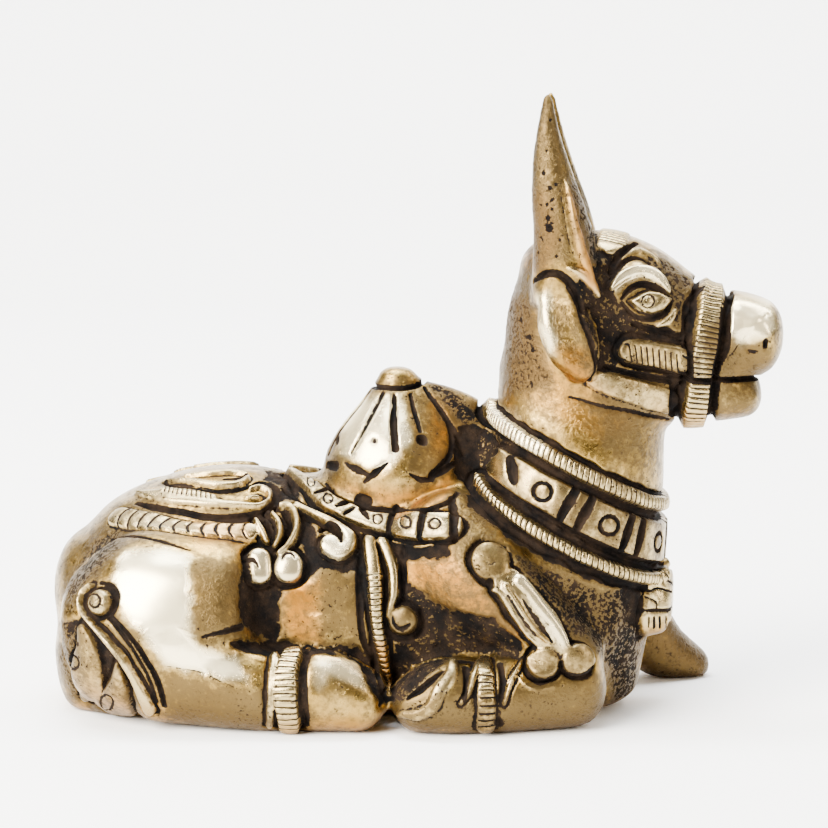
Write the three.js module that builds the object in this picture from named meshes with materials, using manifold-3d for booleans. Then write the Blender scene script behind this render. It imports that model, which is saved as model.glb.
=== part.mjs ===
// A small cast brass figure of a resting humped bull in harness, lying on its folded legs.
// It faces +X and stands on z = 0; its left flank is +Y. One casting, so one closed solid.
import * as THREE from 'three';
import Module from 'manifold-3d';
import { LoftGeometry } from 'three/addons/geometries/LoftGeometry.js';
import { mergeVertices } from 'three/addons/utils/BufferGeometryUtils.js';

const wasm = await Module();
wasm.setup();

// Driving dimensions, in millimetres.
const FIGURE_LENGTH = 70.4;
const HORN_RISE = 16.3;
const HORN_SPREAD = 6.6;
const HUMP_RADIUS = 6.7;
const HUMP_RISE = 14.2;
const KNOB_RADIUS = 1.9;
const STRAP_WIDTH = 2;
const STRAP_PROUD = 0.6;
const PLATE_WIDTH = 3.7;
const PLATE_PROUD = 0.7;
const COLLAR_PITCH = 6.9;
const ANKLET_WIDTH = 2.4;
const ANKLET_PROUD = 0.5;
const SCROLL_WIDTH = 1.3;
const SCROLL_PROUD = 0.9;
const GROOVE_WIDTH = 0.9;
const GROOVE_DEPTH = 0.6;
const BEDDING = 0.8;
const EVENNESS = 0.08;

// The free forms below are written for a figure of the drawn length and follow its real length.
const DRAWN_LENGTH = 70.4;
const SHARE = FIGURE_LENGTH / DRAWN_LENGTH;
const BRASS = new THREE.MeshStandardMaterial({ color: 0xb3904f, roughness: 0.28, metalness: 1 });
const ACROSS = new THREE.Vector3(0, 1, 0);

// Closed solid of a geometry: only its positions are kept, and equal corners are joined.
function solidOf(geometry) {
  const bare = new THREE.BufferGeometry();
  bare.setAttribute('position', geometry.getAttribute('position'));
  bare.setIndex(geometry.getIndex());
  const merged = mergeVertices(bare, 1e-4);
  const corners = new Uint32Array(merged.index.array);
  const solid = () => new wasm.Manifold(new wasm.Mesh({
    numProp: 3,
    vertProperties: merged.attributes.position.array,
    triVerts: corners,
  }));
  if (solid().volume() < 0) corners.reverse();
  return solid();
}

function geometryOf(solid) {
  const mesh = solid.getMesh();
  const stride = mesh.numProp;
  const positions = new Float32Array(mesh.numVert * 3);
  for (let i = 0; i < mesh.numVert; i++) {
    positions.set(mesh.vertProperties.subarray(i * stride, i * stride + 3), i * 3);
  }
  const geometry = new THREE.BufferGeometry();
  geometry.setAttribute('position', new THREE.BufferAttribute(positions, 3));
  geometry.setIndex(new THREE.BufferAttribute(mesh.triVerts, 1));
  geometry.computeVertexNormals();
  return geometry;
}

const joined = (solids) => solids.reduce((whole, piece) => whole.add(piece));
const mirrored = (rows) => rows.map(([x, y, z, ...rest]) => [x, -y, z, ...rest]);

// One swelling form along a smooth spine. Each station is [x, y, z, half height, half width];
// domes are the lengths of the rounded ends, and power above 2 makes the section squarer.
function limb(stations, { domes = [1, 1], rings = 6, sides = 12, power = 2 }) {
  const rows = stations.map((row) => row.map((value) => value * SHARE));
  const spine = new THREE.CatmullRomCurve3(rows.map(([x, y, z]) => new THREE.Vector3(x, y, z)));
  const girth = new THREE.CatmullRomCurve3(rows.map((row) => new THREE.Vector3(row[3], row[4], 0)));
  const section = (t, shift, scale) => {
    const centre = spine.getPoint(t);
    const along = spine.getTangent(t);
    const side = ACROSS.clone().addScaledVector(along, -ACROSS.dot(along)).normalize();
    const rise = new THREE.Vector3().crossVectors(along, side);
    const half = girth.getPoint(t);
    centre.addScaledVector(along, shift);
    return Array.from({ length: sides }, (_, i) => {
      const angle = ((i + 0.5) / sides) * 2 * Math.PI;
      const round = (value) => Math.sign(value) * Math.abs(value) ** (2 / power);
      return centre.clone()
        .addScaledVector(rise, half.x * scale * round(Math.sin(angle)))
        .addScaledVector(side, half.y * scale * round(Math.cos(angle)));
    });
  };
  const sections = [];
  const domeAngles = [80, 52, 25].map(THREE.MathUtils.degToRad);
  for (const angle of domeAngles) {
    sections.push(section(0, -domes[0] * SHARE * Math.sin(angle), Math.cos(angle)));
  }
  for (let i = 0; i <= rings; i++) sections.push(section(i / rings, 0, 1));
  for (const angle of domeAngles.slice().reverse()) {
    sections.push(section(1, domes[1] * SHARE * Math.sin(angle), Math.cos(angle)));
  }
  return solidOf(new LoftGeometry(sections, { capStart: true, capEnd: true }));
}

function egg([x, y, z], [rx, ry, rz], turns = [0, 0, 0], detail = [10, 6]) {
  const ball = new THREE.SphereGeometry(1, ...detail).rotateX(Math.PI / 2);
  ball.scale(rx * SHARE, ry * SHARE, rz * SHARE);
  ball.rotateX(turns[0]).rotateY(turns[1]).rotateZ(turns[2]);
  ball.translate(x * SHARE, y * SHARE, z * SHARE);
  return solidOf(ball);
}

// Body forms, as [x, y, z, half height, half width] along each spine.
const TORSO = [[-31, 0, 8.9, 8.1, 8.3], [-26, 0, 9.9, 11.3, 11.2], [-19, 0, 10.2, 12.9, 12.4],
  [-11, 0, 10.2, 12.1, 12], [-3, 0, 10, 12.4, 11.7], [5, 0, 10, 13, 11.7], [12, 0, 9.8, 12, 11],
  [17.5, 0, 8.4, 9.6, 9.2]];
const RUMP = [[-32.3, 0, 4.6, 6.2, 9.2], [-29.5, 0, 4.8, 7, 10.8], [-23, 0, 5, 7.4, 12]];
const NECK = [[12.8, 0, 2.5, 8.4, 7.6], [13.1, 0, 10, 9.5, 10], [14, 0, 17, 9.4, 9.9],
  [14.9, 0, 24, 8.7, 8.9], [15.6, 0, 29, 8.2, 8], [16, 0, 34, 8.3, 7.6], [15, 0, 39, 6.8, 7.1],
  [14.3, 0, 43, 4.8, 6.2]];
const CREST = [[-3, 0, 23.5, 8.6, 3.6], [1, 0, 22.5, 8.7, 3.4], [5, 0, 20.8, 8.1, 3.2],
  [9.5, 0, 19.4, 8.6, 3.2]];
const HEAD = [[13, 0, 38.5, 7.4, 7], [17, 0, 38, 8.1, 7], [20, 0, 37, 7.8, 6.7],
  [23, 0, 35.7, 7.1, 6.1], [26, 0, 34.6, 6.4, 5.5], [29, 0, 34.3, 5.7, 4.9]];
const MUZZLE = [[27.5, 0, 35.6, 5.1, 4.9], [30.5, 0, 36.1, 4.3, 4.8], [33, 0, 36, 3.6, 4.4]];
const CHIN = [[15.5, 0, 33.4, 4.4, 7], [20, 0, 31.9, 4, 6.4], [24.5, 0, 30.9, 3.3, 5.2],
  [28.5, 0, 30.4, 2.6, 4.4], [31.2, 0, 30.4, 2.2, 3.8]];
const HAUNCH = [[-29.4, -7, 7.8, 7.2, 7.3], [-24.2, -8.9, 9, 9.3, 8], [-17.3, -9.6, 9, 8.7, 7.2]];
const HIND_LEG = [[-24, -12.2, 5.1, 4.8, 4.2], [-17, -13.3, 4.3, 4.3, 3.9], [-12, -13.7, 3.7, 3.8, 3.7],
  [-8, -13.7, 3.9, 4, 3.7], [-4.4, -13.4, 2.9, 3.1, 3.4]];
const FOLDED_ARM = [[1.5, -6.6, 17, 5.6, 4.6], [6.5, -9.4, 13.4, 5.2, 4.5], [12, -10.3, 9.3, 3.9, 3.9],
  [15.3, -10.4, 6, 3.5, 3.6]];
const FOLDED_SHIN = [[14.8, -10.3, 4.2, 4.3, 4.1], [11, -11.6, 3.6, 4, 3.8],
  [6.5, -12.9, 3.2, 3.5, 3.7], [2.8, -13.6, 3.4, 3.7, 3.6], [0.2, -13.6, 2.6, 2.8, 3.3]];
const RAISED_ARM = [[3, 7, 16.5, 5.8, 4.6], [10, 10.2, 13.5, 4.9, 4.3], [15.5, 11.3, 12, 4, 3.9],
  [18.9, 11.7, 10.9, 3.4, 3.6]];
const RAISED_SHIN = [[18.6, 11.6, 9.4, 3.6, 3.7], [20.8, 12.4, 6, 3.5, 3.5], [23.2, 13.4, 3, 3.1, 3.3],
  [26.4, 14.6, 1.2, 2, 2.8]];
const EAR = [[13.1, -7.4, 40.4, 1.4, 1], [13.8, -8.3, 38.5, 2.5, 1.4], [14.9, -8.6, 35.8, 2.6, 1.4],
  [16, -8.2, 33.4, 1.6, 1.1]];
const EAR_HOLLOW = [[14.9, -10.15, 36.9], [1.5, 0.9, 3.6]];
const HORN_BASE = [14.2, 5.9, 42];

function horn(side) {
  const [x, y, z] = HORN_BASE;
  const rise = HORN_RISE / SHARE;
  const spread = HORN_SPREAD / SHARE;
  const stations = [[x, y, z - 2, 3.5, 3.1], [x - 0.3, spread, z + rise * 0.22, 2.85, 2.6],
    [x - 1.2, spread + 0.2, z + rise * 0.5, 2.2, 2],
    [x - 1.8, spread - 0.4, z + rise * 0.77, 1.35, 1.25],
    [x - 1.9, spread - 1.3, z + rise, 0.6, 0.55]];
  return limb(side > 0 ? stations : mirrored(stations), { domes: [1, 0.9], rings: 7, sides: 10 });
}

// Sections are [share of half width, share of height]; -1 in height is the bedded foot.
const FLAT = [[1, -1], [0.85, 1], [-0.85, 1], [-1, -1]];
const ROUND = [[1, -1], [0.85, 0.6], [0, 1], [-0.85, 0.6], [-1, -1]];
const NOTCH = [[-1, 1], [0, -1], [1, 1]];

function sweep(spots, section, width, high, low, { closed = false, ends = [1, 1] } = {}) {
  const last = spots.length - 1;
  const rings = spots.map(({ point, normal }, i) => {
    const before = spots[closed ? (i + last) % (last + 1) : Math.max(i - 1, 0)].point;
    const after = spots[closed ? (i + 1) % (last + 1) : Math.min(i + 1, last)].point;
    const along = after.clone().sub(before).normalize();
    const lateral = new THREE.Vector3().crossVectors(normal, along).normalize();
    const grow = closed ? 1 : THREE.MathUtils.lerp(ends[0], ends[1], i / last);
    return section.map(([across, up]) => point.clone()
      .addScaledVector(lateral, across * grow * width / 2)
      .addScaledVector(normal, up < 0 ? up * low : up * high));
  });
  if (closed) rings.push(rings[0].map((corner) => corner.clone()));
  return solidOf(new LoftGeometry(rings, { capStart: !closed, capEnd: !closed }));
}

const strap = (spots, width, proud, options) => sweep(spots, FLAT, width, proud, BEDDING, options);
const cord = (spots, width, proud, options) => sweep(spots, ROUND, width, proud, BEDDING, options);
const groove = (spots, width = GROOVE_WIDTH, depth = GROOVE_DEPTH, options = {}) =>
  sweep(spots, NOTCH, width, BEDDING, depth, options);

// The hump is a dome turned about an upright axis, as [share of the radius, share of the rise].
const HUMP_CENTRE = [-2.2, 0, 18.6];
const HUMP_PROFILE = [[0.6, -0.08], [0.86, 0], [0.98, 0.1], [1.04, 0.2], [1.06, 0.3], [1.02, 0.4],
  [0.95, 0.48], [0.86, 0.565], [0.7, 0.67], [0.5, 0.78], [0.37, 0.87]];
const KNOB_PROFILE = [[1, 0.92], [0.98, 0.97], [0.7, 1]];

// The flutes run down the dome, which is cut before the crest closes over some of them.
const FLUTES = 10;
const FLUTE_ROWS = [5, 7, 8, 9, 10];

function flutes() {
  const centre = new THREE.Vector3(...HUMP_CENTRE).multiplyScalar(SHARE);
  return Array.from({ length: FLUTES }, (_, i) => {
    const angle = (i / FLUTES) * 2 * Math.PI + 0.3;
    const outward = new THREE.Vector3(Math.cos(angle), Math.sin(angle), 0);
    const spots = FLUTE_ROWS.map((row) => ({
      point: centre.clone().addScaledVector(outward, HUMP_PROFILE[row][0] * HUMP_RADIUS)
        .add(new THREE.Vector3(0, 0, HUMP_PROFILE[row][1] * HUMP_RISE)),
      normal: outward.clone().setZ(0.55).normalize(),
    }));
    return groove(spots, GROOVE_WIDTH, GROOVE_DEPTH * 0.8);
  });
}

function hump() {
  const points = [new THREE.Vector2(0, HUMP_PROFILE[0][1] * HUMP_RISE)];
  for (const [across, up] of HUMP_PROFILE) {
    points.push(new THREE.Vector2(across * HUMP_RADIUS, up * HUMP_RISE));
  }
  for (const [across, up] of KNOB_PROFILE) {
    points.push(new THREE.Vector2(across * KNOB_RADIUS, up * HUMP_RISE));
  }
  points.push(new THREE.Vector2(0, HUMP_RISE * 1.01));
  const dome = new THREE.LatheGeometry(points, 24).rotateX(Math.PI / 2);
  dome.translate(...HUMP_CENTRE.map((value) => value * SHARE));
  return solidOf(dome).subtract(joined(flutes()));
}

const neck = limb(NECK, { domes: [3, 3], rings: 9, sides: 22, power: 2.1 });
const muzzle = limb(MUZZLE, { domes: [1, 1.8], rings: 3, sides: 16, power: 2.5 });
const chin = limb(CHIN, { domes: [1, 1.7], rings: 6, sides: 16, power: 2.3 });
const skull = limb(HEAD, { domes: [3, 1.5], rings: 7, sides: 20, power: 2.3 });
const hindLegs = [HIND_LEG, mirrored(HIND_LEG)].map((leg) => limb(leg, { domes: [2, 2.3], rings: 7 }));
const shin = limb(FOLDED_SHIN, { domes: [3.4, 1.9], rings: 7 });
const raisedShin = limb(RAISED_SHIN, { domes: [2, 2.2] });

const body = joined([
  limb(TORSO, { domes: [4.5, 3.5], rings: 11, sides: 24, power: 2.05 }),
  limb(RUMP, { domes: [3.2, 2], rings: 3, sides: 18, power: 2.5 }),
  neck,
  limb(CREST, { domes: [1, 1], rings: 4, sides: 12 }),
  skull,
  muzzle,
  chin,
  ...[HAUNCH, mirrored(HAUNCH)].map((form) => limb(form, { domes: [3, 3.4], rings: 5, sides: 14 })),
  ...hindLegs,
  limb(FOLDED_ARM, { domes: [3, 2] }),
  shin,
  limb(RAISED_ARM, { domes: [3, 2] }),
  raisedShin,
  ...[EAR, mirrored(EAR)].map((ear) => limb(ear, { domes: [0.8, 0.8], rings: 5, sides: 10 })),
  horn(-1),
  horn(1),
  hump(),
]).asOriginal().simplify(EVENNESS);

// Relief. A target is a body form as a surface that curves are laid on.
const target = (solid) => new THREE.Mesh(geometryOf(solid), BRASS);
const bodySurface = target(body);
const neckSurface = target(neck);
const headSurface = target(joined([skull, muzzle, chin]));

function touch(surface, from, toward) {
  const direction = toward.clone().sub(from).normalize();
  const hit = new THREE.Raycaster(from, direction).intersectObject(surface)[0];
  return { point: hit.point, normal: hit.face.normal.clone() };
}

// Normals are evened out along a path, so that a strap does not follow single facets.
function eased(spots, closed) {
  const last = spots.length - 1;
  const pick = (i) => spots[closed ? (i + last + 1) % (last + 1) : THREE.MathUtils.clamp(i, 0, last)];
  for (let pass = 0; pass < 2; pass++) {
    const normals = spots.map((spot, i) => pick(i - 1).normal.clone()
      .addScaledVector(spot.normal, 2).add(pick(i + 1).normal).normalize());
    spots.forEach((spot, i) => { spot.normal = normals[i]; });
  }
  return spots;
}

// Spots along a curve of [x, z] marks, laid on the flank of one side.
function laid(surface, marks, side, step = 1.4) {
  const curve = new THREE.CatmullRomCurve3(
    marks.map(([x, z]) => new THREE.Vector3(x * SHARE, 0, z * SHARE)));
  const count = Math.max(2, Math.round(curve.getLength() / (step * SHARE)));
  const spots = curve.getPoints(count).map((mark) => touch(surface,
    new THREE.Vector3(mark.x, side * 60 * SHARE, mark.z), mark));
  return eased(spots, false);
}

// Spots around a form, in a plane through its axis point that falls by slope toward +X.
function around(surface, { centre, slope = 0, sag = 0, turn = [0, 360], count = 24, upright = false }) {
  const axis = new THREE.Vector3(...centre).multiplyScalar(SHARE);
  const closed = turn[1] - turn[0] === 360;
  const spots = [];
  for (let i = 0; i < (closed ? count : count + 1); i++) {
    const angle = THREE.MathUtils.degToRad(turn[0] + (turn[1] - turn[0]) * (i / count));
    const [ahead, aside] = [Math.cos(angle), Math.sin(angle)];
    const from = upright ? new THREE.Vector3(slope * ahead, aside, ahead)
      : new THREE.Vector3(ahead, aside, -slope * ahead + sag * (ahead * ahead - 0.5));
    spots.push(touch(surface, from.multiplyScalar(30 * SHARE).add(axis), axis));
  }
  return eased(spots, closed);
}

function boss(surface, [x, z], side, radius, proud, stretch = 1) {
  const spot = laid(surface, [[x - 0.3, z], [x + 0.3, z]], side)[0];
  const ball = new THREE.SphereGeometry(radius * SHARE, 10, 6);
  ball.scale(stretch, proud / radius, 1 / stretch);
  const outward = new THREE.Vector3(0, side, 0);
  ball.applyQuaternion(new THREE.Quaternion().setFromUnitVectors(outward, spot.normal));
  ball.translate(...spot.point.toArray());
  return solidOf(ball);
}

// Collar: three belts around the neck, the middle one a row of plates parted by paired bars.
const COLLAR = { slope: 0.515, count: 26 };
const COLLAR_TOP = [15.2, 0, 24.6];
const COLLAR_PLATES = [14.9, 0, 20.9];
const COLLAR_FOOT = [14.4, 0, 17.1];
const plateSpots = around(neckSurface, { ...COLLAR, centre: COLLAR_PLATES, count: 72 });
const plateLoop = plateSpots.reduce((sum, spot, i) =>
  sum + spot.point.distanceTo(plateSpots[(i + 1) % plateSpots.length].point), 0);
const plateCount = Math.round(plateLoop / (COLLAR_PITCH * SHARE));

// A bar is a short notch across a belt, on the belt's own outer face.
function bar(spots, share, length, proud) {
  const place = share * spots.length;
  const here = spots[Math.floor(place) % spots.length];
  const next = spots[(Math.floor(place) + 1) % spots.length];
  const along = next.point.clone().sub(here.point);
  const centre = here.point.clone().addScaledVector(along, place % 1).addScaledVector(here.normal, proud);
  const lateral = new THREE.Vector3().crossVectors(here.normal, along).normalize();
  const ends = [-0.5, 0.5].map((half) => ({
    point: centre.clone().addScaledVector(lateral, half * length),
    normal: here.normal,
  }));
  return groove(ends, GROOVE_WIDTH * 0.8, GROOVE_DEPTH * 0.8);
}

const collarBars = [];
for (let i = 0; i < plateCount; i++) {
  for (const offset of [0.36, 0.64]) {
    collarBars.push(bar(plateSpots, (i + offset) / plateCount, PLATE_WIDTH * 0.72, PLATE_PROUD));
  }
}
const topSpots = around(neckSurface, { ...COLLAR, centre: COLLAR_TOP });
const footSpots = around(neckSurface, { ...COLLAR, centre: COLLAR_FOOT, sag: 0.05 });
const plates = strap(plateSpots.filter((_, i) => i % 3 === 0), PLATE_WIDTH, PLATE_PROUD, { closed: true });
const collar = [
  strap(topSpots, STRAP_WIDTH, STRAP_PROUD, { closed: true }),
  plates.subtract(joined(collarBars)),
  strap(footSpots, STRAP_WIDTH * 0.9, STRAP_PROUD, { closed: true }),
];

// Halter: noseband, forehead band, and on each cheek a hatched strap above a plain jaw band.
const NOSEBAND = { centre: [27.1, 0, 34.4], slope: 0.13, upright: true, count: 18 };
const FOREHEAD = { centre: [15.6, 0, 39], slope: 0.42, upright: true, turn: [-62, 62], count: 9 };
const halter = [
  strap(around(headSurface, NOSEBAND), STRAP_WIDTH, STRAP_PROUD, { closed: true }),
  strap(around(headSurface, FOREHEAD), STRAP_WIDTH, STRAP_PROUD * 0.8),
];
const CHEEK_STRAP = [[19.4, 35.2], [22.5, 34.9], [26.3, 34.5]];
const JAW_BAND = [[17, 32], [20.8, 31], [24.8, 30]];
const JAW_LINE = [[17.4, 33.6], [21, 32.9], [24.8, 32.2]];
const BROW = [[19.5, 43.3], [20.7, 44.1], [22.4, 43.6], [23.9, 42]];
const LID = [[18.6, 40.2], [19.9, 41.8], [21.6, 42.4], [23.3, 41.7], [24.1, 40.3]];
const EYE = [21.6, 39.9];
const MOUTH = { centre: [28, 0, 32.3], slope: 0.03, turn: [-128, 128], count: 16 };
const NOSTRIL = [33.3, 35.8];

// Saddle border under the hump, its girth ribbons, and the scrolls along back and flank.
const BORDER = [[-12.4, 22.1], [-10.3, 21.4], [-8.2, 20.3], [-5.9, 19.2], [-3.4, 18.6], [-0.4, 18.5],
  [2.3, 19], [4, 19.6]];
const GIRTH_FRONT = [[-2.9, 17.4], [-1.9, 15.6], [-1.6, 12.6], [-2.1, 11]];
const GIRTH_CURL = [-0.8, 10];
const GIRTH_BACK = [[-3.9, 17.4], [-3.7, 14.8], [-3.3, 11.1], [-2.6, 7.3], [-2, 4.2]];
const C_SCROLL = [[-11.4, 20.6], [-9, 19.3], [-6.9, 18.7], [-5.8, 17.7], [-5.8, 16.6]];
const C_BALL = [-7.6, 17];
const SCROLLS = [[[-13.4, 20.6], [-11.8, 20.1], [-11.1, 18.4], [-11.8, 16.5]],
  [[-15.1, 19.9], [-13.8, 19.1], [-13.2, 17.8], [-13.8, 16.5]]];
const SCROLL_BALLS = [[-11.7, 14.8], [-14.4, 15.2]];
const CRUPPER = [[-29.6, 18.4], [-24.9, 18.4], [-20.9, 18.3], [-16, 18]];
const LEAF = [[-27.3, 20.2], [-23.1, 20.5], [-19.3, 20.5], [-16, 20.2]];
const LEAF_HOOK = [[-26.9, 19.6], [-22, 19.3], [-16.5, 19.1], [-13.9, 19.8], [-13.2, 21.2], [-14.8, 22]];
const UPPER_LEAF = [[-24.8, 21.6], [-21.5, 22], [-18.4, 22.2]];

// Ornament of the folded foreleg and tail of the near haunch, which the far side does not repeat.
const DISC = [7.4, 16];
const DISC_RIBBONS = [[[8.7, 14.2], [10.8, 11.8], [12.2, 10.1], [13.2, 8.4]],
  [[9.5, 14.5], [12.2, 12.3], [13.9, 10], [14.7, 8.3]]];
const RIBBON_BALLS = [[12.3, 6.7], [15.8, 6.9]];
const TAIL_CURL = [-29.1, 11.9];
const TAIL_RIBS = [[[-30.1, 10.6], [-27.1, 8.6], [-25.3, 6.5], [-24.3, 4.3], [-23.8, 2.5]],
  [[-27.3, 10.9], [-24.9, 8.9], [-23.5, 6.6], [-22.6, 3.7]]];
const PETALS = [[[-30.9, 5.9], 1.8, 2.9], [[-27.9, 3], 1.8, 2]];
const HOOF_LINES = [[[-0.6, 3.4], [1.6, 5.2], [3.8, 6.5]], [[0.2, 1.9], [1.6, 3.4], [3.4, 5.2], [5, 6.6]]];

const raised = [];
const carved = [];
for (const side of [-1, 1]) {
  const on = (marks) => laid(bodySurface, marks, side);
  const onHead = (marks) => laid(headSurface, marks, side, 1.2);
  const border = on(BORDER);
  raised.push(strap(border, STRAP_WIDTH, STRAP_PROUD, { ends: [0.75, 1.1] }));
  for (let i = 1; i < border.length - 1; i += 2) {
    carved.push(bar(border, i / border.length, STRAP_WIDTH, STRAP_PROUD));
  }
  raised.push(strap(on(GIRTH_BACK), SCROLL_WIDTH, SCROLL_PROUD * 0.8, { ends: [1, 0.3] }));
  raised.push(cord(on(GIRTH_FRONT), SCROLL_WIDTH * 0.8, SCROLL_PROUD * 0.8));
  raised.push(boss(bodySurface, GIRTH_CURL, side, 1.15, 0.9));
  raised.push(cord(on(C_SCROLL), SCROLL_WIDTH, SCROLL_PROUD));
  raised.push(boss(bodySurface, C_BALL, side, 1.3, 1.1));
  raised.push(strap(on(CRUPPER), STRAP_WIDTH, STRAP_PROUD));
  raised.push(cord(on(LEAF_HOOK), SCROLL_WIDTH * 0.8, SCROLL_PROUD * 0.7));
  if (side < 0) {
    for (const scroll of SCROLLS) raised.push(cord(on(scroll), SCROLL_WIDTH, SCROLL_PROUD));
    for (const ball of SCROLL_BALLS) raised.push(boss(bodySurface, ball, side, 1.25, 1.1));
    raised.push(cord(on(LEAF), SCROLL_WIDTH, SCROLL_PROUD * 0.6, { ends: [0.5, 1] }));
    raised.push(cord(on(UPPER_LEAF), SCROLL_WIDTH, SCROLL_PROUD * 0.6));
    for (const rib of TAIL_RIBS) raised.push(cord(on(rib), SCROLL_WIDTH, SCROLL_PROUD * 0.7));
    for (const [spot, half, tall] of PETALS) raised.push(egg([spot[0], -13.4, spot[1]], [half, 1.8, tall]));
    raised.push(boss(bodySurface, TAIL_CURL, side, 1.35, 1));
    for (const ribbon of DISC_RIBBONS) raised.push(cord(on(ribbon), SCROLL_WIDTH * 1.2, SCROLL_PROUD * 0.7));
    for (const ball of RIBBON_BALLS) raised.push(boss(bodySurface, ball, side, 1.5, 1.1));
    for (const line of HOOF_LINES) carved.push(groove(on(line)));
  }
  raised.push(boss(bodySurface, DISC, side, 1.8, 0.9));
  raised.push(strap(onHead(CHEEK_STRAP), STRAP_WIDTH * 1.25, STRAP_PROUD * 0.8));
  raised.push(strap(onHead(JAW_BAND), STRAP_WIDTH, STRAP_PROUD * 0.5, { ends: [1.1, 0.9] }));
  raised.push(cord(onHead(BROW), SCROLL_WIDTH * 0.6, SCROLL_PROUD * 0.4));
  raised.push(cord(onHead(LID), SCROLL_WIDTH * 0.8, SCROLL_PROUD * 0.7));
  raised.push(boss(headSurface, EYE, side, 1.6, 0.8, 1.25));
  carved.push(groove(onHead(JAW_LINE)));
  carved.push(boss(headSurface, NOSTRIL, side, 0.5, 0.8));
  carved.push(egg(side < 0 ? EAR_HOLLOW[0] : mirrored([EAR_HOLLOW[0]])[0], EAR_HOLLOW[1], [0, -0.22, 0]));
}

// Anklets: one on each hind leg and one on the folded foreleg.
function anklet(leg, centre) {
  const spots = around(target(leg), { centre, upright: true, count: 14 });
  return strap(spots, ANKLET_WIDTH, ANKLET_PROUD, { closed: true });
}

raised.push(anklet(hindLegs[0], [-10.6, -13.7, 3.7]));
raised.push(anklet(hindLegs[1], [-10.6, 13.7, 3.7]));
raised.push(anklet(shin, [6.7, -12.8, 3.3]));

// The pendant that hangs from the collar on the chest, and the slit of the mouth.
const PENDANT = [[22.8, 0, 13.6, 1.4, 3], [22.7, 0, 11, 1.5, 4.1], [22.6, 0, 9, 1.5, 4.5],
  [22.5, 0, 7.5, 1.4, 4.5]];
raised.push(limb(PENDANT, { domes: [0.4, 0.4], rings: 3, sides: 8, power: 3 }));
carved.push(groove(around(headSurface, MOUTH), GROOVE_WIDTH, GROOVE_DEPTH * 1.6));

const floor = new THREE.BoxGeometry(200 * SHARE, 100 * SHARE, 60 * SHARE).translate(0, 0, -30 * SHARE);
const dressed = joined([body, ...collar, ...halter, ...raised]);
const casting = joined([solidOf(floor), ...carved]);
const finished = dressed.subtract(casting).asOriginal().simplify(EVENNESS);
const box = finished.boundingBox();
const centred = finished.translate([-(box.min[0] + box.max[0]) / 2, -(box.min[1] + box.max[1]) / 2, 0]);
const figure = new THREE.Mesh(geometryOf(centred), BRASS);
figure.name = 'nandi_bull';

const group = new THREE.Group();
group.add(figure);
export default group;
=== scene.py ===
# %% [markdown]
# # A small cast brass bull, lying in its harness
# The real figure is one solid casting, a finger long. A founder poured it from a wax model, then
# a chaser cut the straps, scrolls and eyes with small steel punches. Dark patina was left in every
# hollow, and the high places were polished. This lesson works in the same order: swelling forms
# are fused into a blank, the blank is chased with relief, and a metal with dark hollows is mixed.

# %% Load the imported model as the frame
import math

import bmesh
import bpy
import numpy as np
from mathutils import Matrix, Vector
from mathutils.bvhtree import BVHTree
from mathutils.noise import noise_vector, seed_set


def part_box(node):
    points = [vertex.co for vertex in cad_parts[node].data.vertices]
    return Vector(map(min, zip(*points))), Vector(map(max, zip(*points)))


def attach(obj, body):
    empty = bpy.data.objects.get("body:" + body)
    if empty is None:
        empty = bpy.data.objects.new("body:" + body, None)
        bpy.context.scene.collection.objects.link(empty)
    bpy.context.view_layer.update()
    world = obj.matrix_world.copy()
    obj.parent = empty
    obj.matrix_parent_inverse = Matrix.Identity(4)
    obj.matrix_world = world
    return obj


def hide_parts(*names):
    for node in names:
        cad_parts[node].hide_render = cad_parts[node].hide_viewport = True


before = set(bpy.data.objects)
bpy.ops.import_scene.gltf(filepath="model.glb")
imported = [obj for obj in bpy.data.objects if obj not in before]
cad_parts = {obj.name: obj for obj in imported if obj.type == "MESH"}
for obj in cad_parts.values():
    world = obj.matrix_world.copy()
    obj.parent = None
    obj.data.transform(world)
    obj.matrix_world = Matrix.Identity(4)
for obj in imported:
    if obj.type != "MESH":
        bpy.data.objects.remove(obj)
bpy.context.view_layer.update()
NODE = "nandi_bull"
MM = 0.001
lowest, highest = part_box(NODE)
print("casting, mm:", [round(v / MM, 2) for v in highest - lowest])

# %% [markdown]
# The camera comes first, because many marks of the chasing are placed by looking through it.
# A mark is a column and a row of the photograph's 828 by 828 frame. A ray through that mark finds
# the spot on the blank, so each scroll lies on the metal that carries it, seen from any side.

# %% Camera at the photograph's viewing angle
DRAWN_REAR = -35.58          # where the drawn forms end at the rump, in their own millimetres
SHIFT = lowest.x / MM - DRAWN_REAR
FRAME_PIXELS = 828
SENSOR = 36.0
LENS = 135.0
DISTANCE = 300.0
AZIMUTH, ELEVATION = math.radians(4.0), math.radians(7.0)
AIM = Vector((SHIFT - 0.6, 0.0, 28.2))

back = Vector((math.sin(AZIMUTH) * math.cos(ELEVATION),
               -math.cos(AZIMUTH) * math.cos(ELEVATION), math.sin(ELEVATION)))
right = Vector((math.cos(AZIMUTH), math.sin(AZIMUTH), 0.0))
up = back.cross(right)
eye_point = AIM + back * DISTANCE
focal = LENS / SENSOR * FRAME_PIXELS

camera = bpy.data.objects.new("camera", bpy.data.cameras.new("camera"))
camera.data.lens = LENS
camera.data.sensor_width = SENSOR
camera.data.clip_start = 0.01
camera.matrix_world = Matrix((
    (right.x, up.x, back.x, eye_point.x * MM), (right.y, up.y, back.y, eye_point.y * MM),
    (right.z, up.z, back.z, eye_point.z * MM), (0, 0, 0, 1)))
bpy.context.scene.collection.objects.link(camera)
bpy.context.scene.camera = camera
print("camera at, mm:", [round(v, 1) for v in eye_point])

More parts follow.
